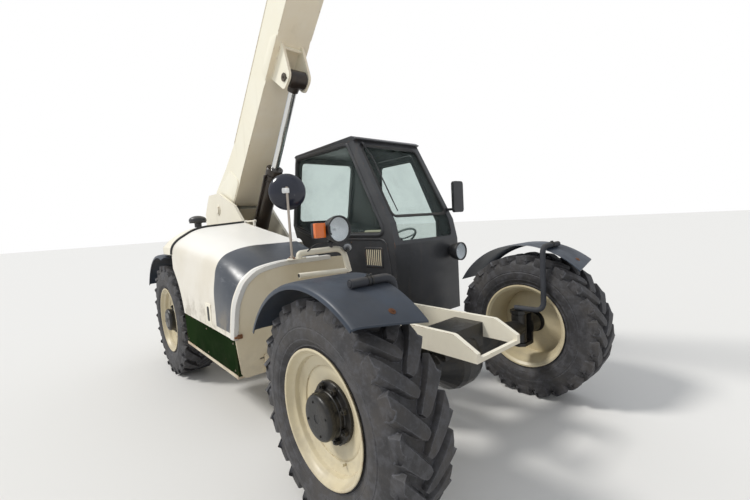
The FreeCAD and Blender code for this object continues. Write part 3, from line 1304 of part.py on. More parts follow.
def forks():
    """Two forks hooked on the carriage rails."""
    front = axle_x + fork_pin_x + d.fork_back
    low = fork_pin_z - d.fork_low
    high = low + d.carriage_high + 110
    thick = d.fork_thick
    blades = []
    for i, offset in enumerate((-d.fork_spread, d.fork_spread)):
        outline = [(front, low, 30), (front + thick + d.fork_length, low), (front + thick + d.fork_length, low + 12),
                   (front + thick + 250, low + thick), (front + thick, low + thick, 10),
                   (front + thick, high), (front, high)]
        blades.append(pad("fork_%d" % i, "XZ", [outline], d.boom_y + offset - d.fork_width / 2,
                          "Dims.fork_width"))
    node("forks", group("forks", blades))


carriage()
forks()

# Check every object, then write one file per node

doc.recompute()
for item in doc.Objects:
    if "Invalid" in item.State or "Error" in item.State:
        raise RuntimeError("object failed: " + item.Label)
os.makedirs("parts", exist_ok=True)
# The tyres stand on the floor: everything comes down by what axle_high has over their radius
fall = Vector(0, 0, d.tyre_radius - d.axle_high)
whole = FreeCAD.BoundBox()
for name in sorted(nodes):
    shape = nodes[name].Shape.translated(fall)
    if shape.isNull() or not shape.isValid() or not shape.Solids:
        raise RuntimeError("bad shape: " + name)
    shape.exportStep("parts/%s.step" % name)
    whole.add(shape.BoundBox)
print("nodes", len(nodes))
print("box", [round(v, 1) for v in (whole.XMin, whole.XMax, whole.YMin, whole.YMax, whole.ZMin, whole.ZMax)])
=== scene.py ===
import math

import bmesh
import bpy
from mathutils import Matrix, Vector

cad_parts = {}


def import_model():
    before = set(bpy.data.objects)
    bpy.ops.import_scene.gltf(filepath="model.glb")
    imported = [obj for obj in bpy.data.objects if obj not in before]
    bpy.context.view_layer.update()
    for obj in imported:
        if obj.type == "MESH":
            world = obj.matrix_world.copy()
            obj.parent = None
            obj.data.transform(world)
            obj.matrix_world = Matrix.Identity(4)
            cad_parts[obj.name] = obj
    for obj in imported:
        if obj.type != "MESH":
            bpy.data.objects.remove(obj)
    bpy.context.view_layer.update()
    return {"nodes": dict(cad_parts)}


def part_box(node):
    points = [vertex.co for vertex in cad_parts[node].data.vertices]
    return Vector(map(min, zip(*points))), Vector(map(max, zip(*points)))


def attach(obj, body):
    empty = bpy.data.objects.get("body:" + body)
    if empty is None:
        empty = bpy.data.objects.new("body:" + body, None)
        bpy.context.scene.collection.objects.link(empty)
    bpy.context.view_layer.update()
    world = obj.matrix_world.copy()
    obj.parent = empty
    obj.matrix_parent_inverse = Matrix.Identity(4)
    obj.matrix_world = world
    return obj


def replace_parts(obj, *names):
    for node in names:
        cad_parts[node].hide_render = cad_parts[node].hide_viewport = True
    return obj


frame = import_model()
nodes = frame["nodes"]

# A compact telescopic handler, metres, +X forward, +Y to its left, +Z up.
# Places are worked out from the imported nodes; sizes that only show here are named below.

WHEELS = ("front_right", "front_left", "rear_right", "rear_left")


def middle(node):
    """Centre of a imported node's box."""
    low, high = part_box(node)
    return (low + high) / 2


AXLE = middle("tyre_front_right")
AXLE_X = AXLE.x
TYRE_RADIUS = AXLE.z
TYRE_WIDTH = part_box("tyre_front_right")[1].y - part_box("tyre_front_right")[0].y
RIM_RADIUS = (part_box("rim_front_right")[1].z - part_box("rim_front_right")[0].z) / 2


# Materials


class Graph:
    """Short names for the nodes of one material."""

    def __init__(self, name):
        self.material = bpy.data.materials.new(name)
        self.material.use_nodes = True
        self.tree = self.material.node_tree
        self.tree.nodes.clear()
        self.output = self.tree.nodes.new("ShaderNodeOutputMaterial")
        self.place = self.add("ShaderNodeTexCoord").outputs["Object"]

    def add(self, kind, **settings):
        made = self.tree.nodes.new(kind)
        for key, value in settings.items():
            setattr(made, key, value)
        return made

    def feed(self, socket, value):
        """Link a socket, or set its number or colour."""
        if isinstance(value, bpy.types.NodeSocket):
            self.tree.links.new(value, socket)
        elif isinstance(value, tuple) and len(value) == 3 and len(socket.default_value) == 4:
            socket.default_value = (*value, 1)
        else:
            socket.default_value = value

    def noise(self, scale, detail=3, rough=0.55, warp=0.0, where=None):
        made = self.add("ShaderNodeTexNoise")
        self.feed(made.inputs["Vector"], where or self.place)
        for key, value in (("Scale", scale), ("Detail", detail), ("Roughness", rough), ("Distortion", warp)):
            made.inputs[key].default_value = value
        return made.outputs["Fac"]

    def cells(self, scale):
        made = self.add("ShaderNodeTexVoronoi", feature="F1")
        self.feed(made.inputs["Vector"], self.place)
        made.inputs["Scale"].default_value = scale
        return made.outputs["Distance"]

    def stretch(self, x, y, z):
        """Object coordinates scaled along each axis."""
        made = self.add("ShaderNodeVectorMath", operation="MULTIPLY")
        self.feed(made.inputs[0], self.place)
        made.inputs[1].default_value = (x, y, z)
        return made.outputs[0]

    def axis(self, letter, where=None):
        made = self.add("ShaderNodeSeparateXYZ")
        self.feed(made.inputs[0], where or self.place)
        return made.outputs[letter]

    def facing(self, letter):
        """Component of the surface's own normal."""
        made = self.add("ShaderNodeTexCoord")
        return self.axis(letter, made.outputs["Normal"])

    def step(self, value, low, high, to_low=0.0, to_high=1.0):
        """Smooth ramp of a number between two values."""
        made = self.add("ShaderNodeMapRange", interpolation_type="SMOOTHSTEP")
        self.feed(made.inputs[0], value)
        for i, number in enumerate((low, high, to_low, to_high), 1):
            made.inputs[i].default_value = number
        return made.outputs[0]

    def math(self, operation, a, b=0.0):
        made = self.add("ShaderNodeMath", operation=operation)
        self.feed(made.inputs[0], a)
        self.feed(made.inputs[1], b)
        return made.outputs[0]

    def times(self, a, b):
        return self.math("MULTIPLY", a, b)

    def plus(self, a, b):
        return self.math("ADD", a, b)

    def mix(self, share, a, b):
        made = self.add("ShaderNodeMix", data_type="RGBA")
        self.feed(made.inputs[0], share)
        self.feed(made.inputs[6], a)
        self.feed(made.inputs[7], b)
        return made.outputs[2]

    def edges(self, radius=0.006):
        """1 along sharp edges, 0 on flat faces."""
        round_off = self.add("ShaderNodeBevel", samples=4)
        round_off.inputs["Radius"].default_value = radius
        flat = self.add("ShaderNodeNewGeometry").outputs["Normal"]
        dot = self.add("ShaderNodeVectorMath", operation="DOT_PRODUCT")
        self.feed(dot.inputs[0], round_off.outputs[0])
        self.feed(dot.inputs[1], flat)
        return self.step(dot.outputs["Value"], 0.995, 0.8)

    def bump(self, height, depth, strength=0.5, under=None):
        made = self.add("ShaderNodeBump")
        self.feed(made.inputs["Height"], height)
        made.inputs["Distance"].default_value = depth
        made.inputs["Strength"].default_value = strength
        if under is not None:
            self.feed(made.inputs["Normal"], under)
        return made.outputs[0]

    def shade(self, colour, rough, metal=0.0, normal=None, **extra):
        """Finish with a Principled shader; extra names its other sockets."""
        made = self.add("ShaderNodeBsdfPrincipled")
        self.feed(made.inputs["Base Color"], colour)
        self.feed(made.inputs["Roughness"], rough)
        self.feed(made.inputs["Metallic"], metal)
        if normal is not None:
            self.feed(made.inputs["Normal"], normal)
        for key, value in extra.items():
            self.feed(made.inputs[key.replace("_", " ")], value)
        self.tree.links.new(made.outputs[0], self.output.inputs[0])
        return self.material


RUST = (0.16, 0.055, 0.02)
RUST_PALE = (0.30, 0.13, 0.05)
DUST = (0.30, 0.26, 0.20)


def worn_paint(name, colour, faded, rough=0.42, chips=0.5, dirt=0.5, sun_side_highlight=0.0, grime_top=0.9, **extra):
    """Old machine paint: patchy fading, rust at the edges, specks, runs and splashed dirt low down, and a painted
    highlight on faces that look up or towards the sun.
    """
    g = Graph(name)
    patch = g.noise(1.6, 4, 0.6, 0.4)
    fine = g.noise(38, 4, 0.7)
    base = g.mix(g.step(patch, 0.35, 0.68), colour, faded)
    # Painted highlight: faces that look up or towards -Y, where the sun comes from, get a paler copy of the faded
    # colour.
    if sun_side_highlight:
        up = g.step(g.facing("Z"), 0.35, 0.95, 0, sun_side_highlight)
        out = g.step(g.facing("Y"), -0.4, -0.95, 0, sun_side_highlight * 0.7)
        base = g.mix(g.math("MAXIMUM", up, out), base, tuple(min(0.86, c * 1.16 + 0.04) for c in faded))
    streak = g.noise(9, 3, 0.6, where=g.stretch(1.0, 1.0, 0.12))
    stain = g.times(g.step(streak, 0.56, 0.78), 0.28 * dirt)
    base = g.mix(stain, base, (0.24, 0.17, 0.10))
    low = g.step(g.axis("Z"), grime_top, 0.25, 0, 0.75 * dirt)
    splash = g.times(low, g.step(g.noise(6, 5, 0.7), 0.40, 0.66))
    base = g.mix(splash, base, DUST)
    edge = g.times(g.edges(), g.step(g.noise(17, 4, 0.75), 0.60 - 0.16 * chips, 0.64 - 0.10 * chips))
    speck = g.step(g.noise(23, 5, 0.85, 0.5), 0.74 - 0.035 * chips, 0.76 - 0.03 * chips)
    bare = g.math("MAXIMUM", edge, speck)
    halo = g.times(g.step(g.noise(23, 5, 0.85, 0.5), 0.70 - 0.035 * chips, 0.745 - 0.03 * chips), 0.55)
    base = g.mix(halo, base, RUST_PALE)
    base = g.mix(bare, base, g.mix(fine, RUST, RUST_PALE))
    gloss = g.plus(g.times(fine, 0.16), rough - 0.05)
    gloss = g.math("MAXIMUM", gloss, g.times(g.math("MAXIMUM", bare, splash), 0.85))
    height = g.math("SUBTRACT", g.noise(140, 2, 0.5), g.times(bare, 2.5))
    return g.shade(base, gloss, normal=g.bump(height, 0.0005, 0.35), **extra)


def cast_metal(name, colour, second, rough=0.6, metal=0.0, grain=90):
    """Rough cast or greasy metal with caked dirt."""
    g = Graph(name)
    cake = g.step(g.noise(7, 5, 0.7, 0.3), 0.42, 0.68)
    base = g.mix(cake, colour, second)
    gloss = g.plus(g.times(cake, 0.25), rough - 0.1)
    height = g.plus(g.noise(grain, 3, 0.6), g.times(cake, 0.8))
    return g.shade(base, gloss, metal, normal=g.bump(height, 0.0015, 0.55))


def moulded(name, colour, rough=0.5, dusty=0.4, grain=260):
    """Moulded plastic or rubber with a fine grain, dust on top and pale scuffs."""
    g = Graph(name)
    base = g.mix(g.step(g.noise(3, 4, 0.6), 0.35, 0.7), colour, tuple(c * 1.35 + 0.01 for c in colour))
    scuff = g.step(g.noise(14, 5, 0.8, where=g.stretch(1, 3.5, 1)), 0.66, 0.76)
    base = g.mix(g.times(scuff, 0.25), base, (0.22, 0.22, 0.21))
    lying = g.times(g.step(g.facing("Z"), 0.3, 0.95), g.step(g.noise(5, 4, 0.6), 0.35, 0.7))
    base = g.mix(g.times(lying, dusty), base, DUST)
    gloss = g.plus(g.times(lying, 0.3), rough)
    return g.shade(base, gloss, normal=g.bump(g.noise(grain, 2, 0.5), 0.0004, 0.4))


def rubber(name):
    """Tyre rubber: dusty brown grey, paler on the worn lug tops, dark where it was splashed."""
    g = Graph(name)
    mud = g.step(g.noise(4.2, 5, 0.65, 0.3), 0.38, 0.7)
    base = g.mix(mud, (0.027, 0.026, 0.028), (0.066, 0.060, 0.056))
    worn = g.step(g.noise(21, 4, 0.7), 0.42, 0.66)
    worn_edge = g.times(g.edges(0.010), g.step(g.noise(33, 3, 0.7), 0.35, 0.6))
    base = g.mix(g.times(worn, 0.45), base, (0.092, 0.092, 0.102))
    base = g.mix(g.times(worn_edge, 0.55), base, (0.150, 0.155, 0.175))
    grit = g.step(g.cells(120), 0.10, 0.03)
    base = g.mix(g.times(grit, 0.35), base, (0.26, 0.23, 0.19))
    cracks = g.noise(55, 4, 0.7, where=g.stretch(1, 4, 1))
    height = g.plus(g.times(cracks, 0.7), g.noise(240, 2, 0.6))
    return g.shade(base, g.step(mud, 0, 1, 0.62, 0.9), normal=g.bump(height, 0.0016, 0.6))


def glass_pane(name, tint, cover=0.16, rough=0.03):
    """Tinted pane: mostly clear, with a share of glossy reflection and a dusty film."""
    g = Graph(name)
    film = g.step(g.noise(2.5, 4, 0.6), 0.4, 0.75, 0, 0.06)
    clear = g.add("ShaderNodeBsdfTransparent")
    clear.inputs[0].default_value = (*tint, 1)
    shine = g.add("ShaderNodeBsdfPrincipled")
    shine.inputs["Base Color"].default_value = (0.16, 0.20, 0.19, 1)
    shine.inputs["Roughness"].default_value = rough
    facing = g.add("ShaderNodeLayerWeight")
    edge_on = g.math("POWER", facing.outputs["Facing"], 4.0)
    share = g.plus(g.plus(g.times(edge_on, 0.5), cover), film)
    both = g.add("ShaderNodeMixShader")
    g.feed(both.inputs[0], share)
    g.tree.links.new(clear.outputs[0], both.inputs[1])
    g.tree.links.new(shine.outputs[0], both.inputs[2])
    g.tree.links.new(both.outputs[0], g.output.inputs[0])
    return g.material


def polished(name, colour, rough=0.12, spots=0.3):
    """Chromed steel with dull spots and fine wipe marks along it."""
    g = Graph(name)
    spot = g.step(g.noise(30, 4, 0.8), 0.66, 0.78, 0, spots)
    base = g.mix(spot, colour, (0.20, 0.15, 0.11))
    wipe = g.noise(60, 3, 0.6)
    gloss = g.plus(g.times(wipe, 0.10), rough)
    gloss = g.plus(gloss, g.times(spot, 0.5))
    return g.shade(base, gloss, g.step(spot, 0, 1, 1.0, 0.4))


CREAM = worn_paint("cream_paint", (0.66, 0.60, 0.47), (0.72, 0.67, 0.56), 0.40, 0.35, 0.5, 0.85)
TAN = worn_paint("boom_paint", (0.79, 0.685, 0.51), (0.82, 0.74, 0.60), 0.34, 0.35, 0.3, 0.8)
BEIGE = worn_paint("rim_paint", (0.56, 0.48, 0.31), (0.62, 0.55, 0.39), 0.38, 0.6, 0.5, 0.0, 1.0)
GREEN = worn_paint("green_paint", (0.009, 0.019, 0.007), (0.014, 0.028, 0.010), 0.38, 0.5, 0.05,
                   Specular_IOR_Level=0.0)
CHARCOAL = worn_paint("cab_paint", (0.030, 0.031, 0.034), (0.055, 0.056, 0.060), 0.30, 0.3, 0.35)
DARK = worn_paint("dark_paint", (0.035, 0.035, 0.036), (0.070, 0.067, 0.062), 0.45, 0.7, 0.6)
GREASE = cast_metal("greasy_iron", (0.012, 0.012, 0.012), (0.035, 0.030, 0.024), 0.42, 0.2)
IRON = cast_metal("bare_iron", (0.09, 0.075, 0.06), (0.15, 0.11, 0.08), 0.62, 0.5)
PLASTIC = moulded("fender_plastic", (0.017, 0.026, 0.042), 0.38, 0.08)
BLACK = moulded("black_plastic", (0.018, 0.018, 0.020), 0.38, 0.3)
VINYL = moulded("cabin_vinyl", (0.045, 0.045, 0.048), 0.55, 0.2, 420)
LEDGE = moulded("beige_trim", (0.52, 0.46, 0.33), 0.6, 0.2)
SEAL = moulded("rubber_seal", (0.012, 0.012, 0.012), 0.55, 0.3)
RUBBER = rubber("tyre_rubber")
GLASS = glass_pane("window_glass", (0.90, 0.935, 0.925), 0.05)
LENS = glass_pane("lamp_glass", (0.97, 0.98, 0.98), 0.04)
# Painted reflection: the lamp's reflector is a near-white diffuse plastic, standing in for the mirror shine of its
# chrome.
PAINTED_REFLECTION_GREY = moulded("lamp_reflector", (0.84, 0.85, 0.87), 0.22, 0.05)
CHROME = polished("hard_chrome", (0.72, 0.72, 0.71))
MIRROR = polished("mirror_face", (0.82, 0.84, 0.85), 0.03, 0.1)
BOLT = cast_metal("bolt_steel", (0.20, 0.16, 0.12), (0.13, 0.07, 0.04), 0.5, 0.7, 200)
FLANGE = worn_paint("flange_paint", (0.68, 0.64, 0.56), (0.50, 0.49, 0.46), 0.4, 1.0, 0.8, 0.85)
# Painted shade: a darker tan copy of the cream paint for the bay's forward-facing wall, floor and catch, which lie in
# shade.
SHADED_BAY_CREAM = worn_paint("bay_cream_painted_shade", (0.58, 0.49, 0.33), (0.64, 0.56, 0.41), 0.45, 0.4, 0.6, 0.3)
SILL = worn_paint("sill_paint", (0.62, 0.55, 0.42), (0.50, 0.38, 0.25), 0.5, 1.6, 0.9)
RUSTY = cast_metal("rusty_steel", (0.20, 0.085, 0.035), (0.11, 0.045, 0.02), 0.75, 0.3, 160)
FOAM = moulded("foam_sleeve", (0.022, 0.024, 0.030), 0.75, 0.25, 120)
ROD = polished("worn_rod", (0.46, 0.40, 0.34), 0.28, 0.9)
DISH = moulded("mirror_shell", (0.016, 0.018, 0.030), 0.16, 0.25)
SMOKED = polished("smoked_lens", (0.30, 0.31, 0.32), 0.22, 0.3)
WHITE = moulded("white_clamp", (0.74, 0.74, 0.73), 0.45, 0.15)
WHEEL_GREY = moulded("wheel_grip", (0.30, 0.32, 0.31), 0.4, 0.2)
SEAT_CLOTH = moulded("seat_vinyl", (0.040, 0.040, 0.044), 0.5, 0.25, 500)
PIPE = worn_paint("pipe_paint", (0.10, 0.10, 0.10), (0.16, 0.15, 0.14), 0.4, 0.8, 0.4)
RAM_BLACK = cast_metal("ram_black", (0.028, 0.021, 0.017), (0.055, 0.038, 0.026), 0.38, 0.1)


def lens_colour(name, colour):
    """Moulded lens with fine ribs."""
    g = Graph(name)
    ribs = g.add("ShaderNodeTexWave")
    g.feed(ribs.inputs["Vector"], g.place)
    ribs.inputs["Scale"].default_value = 45
    shade = g.mix(ribs.outputs["Fac"], colour, tuple(c * 0.72 for c in colour))
    return g.shade(shade, 0.18, normal=g.bump(ribs.outputs["Fac"], 0.001, 0.4), Coat_Weight=0.6)


AMBER = lens_colour("amber_lens", (0.83, 0.17, 0.015))
RED = lens_colour("red_lens", (0.45, 0.02, 0.02))


# The slate band: metres from the front axle, and its lower edge
BAND_REAR = -1.33
BAND_FRONT = -1.055
BAND_LOW = 0.776


def hood_paint(name):
    """Cream hood with the slate band near its front, scraped and dented, and a painted highlight on its upward faces.
    """
    g = Graph(name)
    x = g.axis("X")
    z = g.axis("Z")
    wob = g.times(g.math("SUBTRACT", g.noise(3, 2, 0.5), 0.5), 0.01)
    x = g.plus(x, wob)
    patch = g.noise(1.6, 4, 0.6, 0.4)
    base = g.mix(g.step(patch, 0.35, 0.68), (0.68, 0.63, 0.53), (0.74, 0.70, 0.62))
    # Painted highlight: faces that look up are lighter, as where the sun falls on the hood's top.
    up = g.step(g.facing("Z"), 0.35, 0.95, 0, 0.9)
    base = g.mix(up, base, (0.86, 0.84, 0.79))
    scuff = g.step(g.noise(7, 6, 0.75, where=g.stretch(0.6, 1, 2.2)), 0.58, 0.72)
    band_colour = g.mix(g.times(scuff, 0.5), (0.050, 0.057, 0.070), (0.20, 0.21, 0.23))
    slant = g.times(g.math("SUBTRACT", z, BAND_LOW), -0.10)
    rear = g.math("SUBTRACT", x, AXLE_X + BAND_REAR)
    rear = g.math("SUBTRACT", rear, slant)
    front = g.math("SUBTRACT", AXLE_X + BAND_FRONT, x)
    inside = g.math("MINIMUM", g.step(rear, 0, 0.004), g.step(front, 0, 0.004))
    inside = g.math("MINIMUM", inside, g.step(z, BAND_LOW, BAND_LOW + 0.004))
    base = g.mix(inside, base, band_colour)
    grime = g.times(g.step(z, 1.0, 0.79, 0, 0.5), g.step(g.noise(7, 4, 0.7), 0.42, 0.66))
    base = g.mix(grime, base, DUST)
    edge = g.times(g.edges(0.008), g.step(g.noise(17, 4, 0.75), 0.52, 0.60))
    base = g.mix(edge, base, RUST)
    fine = g.noise(38, 4, 0.7)
    gloss = g.plus(g.times(fine, 0.16), g.step(inside, 0, 1, 0.34, 0.24))
    gloss = g.plus(gloss, g.times(g.math("MAXIMUM", edge, grime), 0.4))
    dents = g.bump(g.noise(5, 2, 0.5), 0.012, 0.35)
    return g.shade(base, gloss, normal=g.bump(g.noise(140, 2, 0.5), 0.0004, 0.3, dents))


HOOD = hood_paint("hood_paint")

FINISH = {
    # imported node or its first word: material
    "air_precleaner": BLACK, "boom_inner": TAN, "boom_outer": TAN, "boom_tower": CREAM, "tail": BLACK,
    "cab_step": DARK,
    "cab_door": CHARCOAL, "cab_frame": CHARCOAL, "cab_roof": CHARCOAL, "cab_glazing": GLASS,
    "door_glass": GLASS, "carriage": DARK, "chassis_frame": CREAM, "counterweight": CREAM,
    "dash": VINYL, "driveline": GREASE, "engine_block": IRON, "engine_bulkhead": CREAM,
    "engine_skirt": GREEN, "fender": PLASTIC, "forks": DARK, "front_axle": GREASE,
    "rear_axle": GREASE, "fuel_tank": DARK, "headlamp": BLACK, "hood": HOOD, "hub": GREASE,
    "knuckle": GREASE, "lamp_bracket": CREAM, "lift_barrel": DARK, "tilt_barrel": DARK,
    "lift_rod": CHROME, "tilt_rod": CHROME, "mirror": BLACK, "rear_cowl": CREAM, "rim": BEIGE,
    "seat": VINYL, "steering_wheel": BLACK, "tyre": RUBBER,
}


# Finish slot of each material
SLOTS = {
    "cream_paint": (CREAM, TAN, HOOD, FLANGE, SHADED_BAY_CREAM, SILL, WHITE,),
    "dark_steel": (RUSTY, BOLT, IRON, PIPE,),
    "black_plastic": (BLACK, SEAL, FOAM, DISH, AMBER, RED,),
    "chrome_rod": (ROD, SMOKED, PAINTED_REFLECTION_GREY, MIRROR,),
    "cab_paint": (CHARCOAL,),
    "cabin_plastic": (LEDGE, VINYL, WHEEL_GREY, SEAT_CLOTH,),
    "window_glass": (LENS,),
    "fender_plastic": (PLASTIC,),
    "greasy_black": (GREASE, RAM_BLACK,),
    "rim_cream": (BEIGE,),
    "tyre_rubber": (RUBBER,),
}
SLOT_OF = {material.name: slot for slot, group in SLOTS.items() for material in group}


def dress(obj, material):
    obj.data.materials.clear()
    obj.data.materials.append(material)


for name, obj in nodes.items():
    key = name if name in FINISH else name.split("_")[0]
    dress(obj, FINISH[key])

# Building helpers

AXLE_LEVEL = 622  # height of the wheel centres in the tables below, in mm
REAR = (middle("tyre_rear_right").x - AXLE_X) * 1000


def mm(x, y, z):
    """Place from table numbers: mm ahead of the front axle, to the left and up."""
    return Vector((AXLE_X + x / 1000, y / 1000, AXLE.z + (z - AXLE_LEVEL) / 1000))


def upright(a, b, up):
    """Outline in the side view; up is across the machine."""
    return mm(a, up, b)


def across(a, b, up):
    """Outline in the front view; up is along the machine."""
    return mm(up, a, b)


def level(a, b, up):
    """Outline in the top view."""
    return mm(a, b, up)


def piece(name, mesh, material, body="chassis", slot=None, angle=35):
    """Turn a bmesh into an object with smooth faces that rides on a body."""
    bmesh.ops.recalc_face_normals(mesh, faces=mesh.faces)
    data = bpy.data.meshes.new(name)
    mesh.to_mesh(data)
    mesh.free()
    obj = bpy.data.objects.new(name, data)
    bpy.context.scene.collection.objects.link(obj)
    data.polygons.foreach_set("use_smooth", [True] * len(data.polygons))
    data.set_sharp_from_angle(angle=math.radians(angle))
    dress(obj, material)
    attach(obj, body)
    slot or SLOT_OF[material.name]
    return obj


def merge(mesh, part, matrix=None):
    """Add one bmesh to another, moved by a matrix."""
    if matrix is not None:
        bmesh.ops.transform(part, matrix=matrix, verts=part.verts)
    data = bpy.data.meshes.new("merge")
    part.to_mesh(data)
    part.free()
    mesh.from_mesh(data)
    bpy.data.meshes.remove(data)


def turned(outline, count):
    """Lathe an outline of (radius, along) about Y; returns a bmesh."""
    mesh = bmesh.new()
    rings = []
    for i in range(count):
        angle = 2 * math.pi * i / count
        rings.append([mesh.verts.new((r * math.cos(angle), y, r * math.sin(angle))) for r, y in outline])
    for i in range(count):
        here = rings[i]
        after = rings[(i + 1) % count]
        for k in range(len(outline)):
            j = (k + 1) % len(outline)
            mesh.faces.new((here[k], here[j], after[j], after[k]))
    bmesh.ops.remove_doubles(mesh, verts=mesh.verts, dist=1e-6)
    return mesh


def lathe(mesh, outline, centre, axis, count=40):
    """Add a turned outline in mm of (radius, along) on an axis through a centre."""
    turn = Vector((0, 1, 0)).rotation_difference(Vector(axis)).to_matrix().to_4x4()
    shape = turned([(r / 1000, y / 1000) for r, y in outline], count)
    merge(mesh, shape, Matrix.Translation(centre) @ turn)


def disc(mesh, radius, low, high, centre, axis, count=32, edge=1.5):
    """Add a turned disc or short pin with eased edges."""
    lathe(mesh, [(0, low), (radius - edge, low), (radius, low + edge), (radius, high - edge),
                 (radius - edge, high), (0, high)], centre, axis, count)


def bolt(mesh, centre, axis, size=12, high=8):
    """Add a hexagon head on its washer."""
    disc(mesh, size * 0.95, 0, 2.5, centre, axis, 20, 0.5)
    lathe(mesh, [(0, 2), (size * 0.66, 2), (size * 0.66, high - 1.5), (size * 0.56, high), (0, high)],
          centre, axis, 6)


def rounded(points, steps=5):
    """Round an outline's corners where a point has a third number, its radius."""
    result = []
    count = len(points)
    for i, point in enumerate(points):
        if len(point) < 3:
            result.append(tuple(point[:2]))
            continue
        here = Vector(point[:2])
        before = Vector(points[i - 1][:2]) - here
        after = Vector(points[(i + 1) % count][:2]) - here
        half = before.angle(after) / 2
        reach = min(point[2] / math.tan(half), before.length * 0.49, after.length * 0.49)
        start = here + before.normalized() * reach
        end = here + after.normalized() * reach
        for k in range(steps + 1):
            share = k / steps
            spot = start * (1 - share) ** 2 + here * 2 * share * (1 - share) + end * share ** 2
            result.append((spot.x, spot.y))
    return result


def plate(low, high, radius, steps=5):
    """Rectangle between two flat corners, its own corners rounded."""
    (a, b), (c, d) = low, high
    return rounded([(a, b, radius), (c, b, radius), (c, d, radius), (a, d, radius)], steps)


def eased(line, reach, steps=4):
    """Open line of vectors with its corners eased."""
    line = [Vector(p) for p in line]
    path = [line[0]]
    for before, here, after in zip(line, line[1:], line[2:]):
        back = before - here
        on = after - here
        near = min(reach, back.length * 0.49, on.length * 0.49)
        start = here + back.normalized() * near
        end = here + on.normalized() * near
        for k in range(steps + 1):
            share = k / steps
            path.append(start * (1 - share) ** 2 + here * 2 * share * (1 - share) + end * share ** 2)
    return path + [line[-1]]


def skin(mesh, rings, ends=True):
    """Join rings of points into one surface, capped at both ends or left open."""
    made = [[mesh.verts.new(p) for p in ring] for ring in rings]
    for here, after in zip(made, made[1:]):
        for k in range(len(here)):
            j = (k + 1) % len(here)
            mesh.faces.new((here[k], here[j], after[j], after[k]))
    if ends:
        mesh.faces.new(made[0])
        mesh.faces.new(list(reversed(made[-1])))


def hose(mesh, points, radius, reach=80, count=14, steps=6):
    """Round bar in mm through points in the frame, its corners eased."""
    path = eased(points, reach / 1000, steps)
    rings = []
    side = None
    for i, spot in enumerate(path):
        ahead = (path[min(i + 1, len(path) - 1)] - path[max(i - 1, 0)]).normalized()
        if side is None:
            side = ahead.orthogonal().normalized()
        side = (side - ahead * side.dot(ahead)).normalized()
        up = ahead.cross(side)
        ring = []
        for k in range(count):
            angle = 2 * math.pi * k / count
            ring.append(spot + (side * math.cos(angle) + up * math.sin(angle)) * (radius / 1000))
        rings.append(ring)
    skin(mesh, rings)


def box(mesh, low, high, bevel=3, place=mm):
    """Block between two table corners with rounded edges."""
    part = bmesh.new()
    bmesh.ops.create_cube(part, size=1)
    for vert in part.verts:
        vert.co = Vector([lo if c < 0 else hi for c, lo, hi in zip(vert.co, low, high)])
    if bevel:
        bmesh.ops.bevel(part, geom=part.edges[:], offset=bevel, segments=2, profile=0.5, affect="EDGES")
    for vert in part.verts:
        vert.co = place(*vert.co)
    merge(mesh, part)


def slab(mesh, outline, place, start, end, bevel=2):
    """Plate between two levels over a flat outline in mm, with rounded edges."""
    part = bmesh.new()
    face = part.faces.new([part.verts.new((a, b, start)) for a, b in outline])
    raised = bmesh.ops.extrude_face_region(part, geom=[face])["geom"]
    for item in raised:
        if isinstance(item, bmesh.types.BMVert):
            item.co.z = end
    if bevel:
        rim = [e for e in part.edges if abs(e.verts[0].co.z - e.verts[1].co.z) < 1e-6]
        bmesh.ops.bevel(part, geom=rim, offset=bevel, segments=2, profile=0.5, affect="EDGES",
                        clamp_overlap=True)
    for vert in part.verts:
        vert.co = place(*vert.co)
    merge(mesh, part)


def moulding(mesh, path, profile, place, closed=True):
    """Sweep a profile of (outward, up) along a flat outline that runs anticlockwise."""
    rings = []
    count = len(path)
    for i, spot in enumerate(path):
        here = Vector(spot[:2])
        before = Vector(path[i - 1][:2]) if closed or i else 2 * here - Vector(path[1][:2])
        after = (Vector(path[(i + 1) % count][:2]) if closed or i < count - 1
                 else 2 * here - Vector(path[-2][:2]))
        first = (here - before).normalized()
        second = (after - here).normalized()
        out = Vector((first.y + second.y, -first.x - second.x)) / (1 + max(-0.5, first.dot(second)))
        rings.append([place(here.x + out.x * a, here.y + out.y * a, up) for a, up in profile])
    if closed:
        rings.append(rings[0])
    skin(mesh, rings, ends=not closed)
    if closed:
        bmesh.ops.remove_doubles(mesh, verts=mesh.verts, dist=1e-6)


def anticlockwise(outline):
    """The outline in the order that moulding() takes."""
    area = sum(a[0] * b[1] - b[0] * a[1] for a, b in zip(outline, outline[1:] + outline[:1]))
    return outline if area > 0 else outline[::-1]


def shell(mesh, grid, thick, inside):
    """Sheet of a thickness in mm over a grid of points, growing towards a point inside."""
    inner = []
    for i, row in enumerate(grid):
        line = []
        for j, spot in enumerate(row):
            along = grid[min(i + 1, len(grid) - 1)][j] - grid[max(i - 1, 0)][j]
            over = row[min(j + 1, len(row) - 1)] - row[max(j - 1, 0)]
            normal = along.cross(over).normalized()
            if normal.dot(inside - spot) < 0:
                normal = -normal
            line.append(spot + normal * (thick / 1000))
        inner.append(line)
    skin(mesh, [outer + back[::-1] for outer, back in zip(grid, inner)])


def weld(mesh, points, width):
    """Bead of weld along points, laid in short ripples."""
    line = [Vector(p) for p in points]
    for a, b in zip(line, line[1:]):
        steps = max(2, int((b - a).length * 1000 / (width * 1.6)))
        side = (b - a).normalized().orthogonal().normalized()
        up = (b - a).normalized().cross(side)
        rings = []
        for i in range(steps + 1):
            size = width / 1000 * (0.5 if i % 2 else 0.62)
            spot = a + (b - a) * (i / steps)
            rings.append([spot + (side * math.cos(k * math.pi / 3) + up * math.sin(k * math.pi / 3)) * size
                          for k in range(6)])
        skin(mesh, rings)


# Wheels

LUGS = 22
PITCH = 2 * math.pi / LUGS
NOSE = math.radians(23.8)
CARCASS = TYRE_RADIUS - 0.034
HALF = TYRE_WIDTH / 2


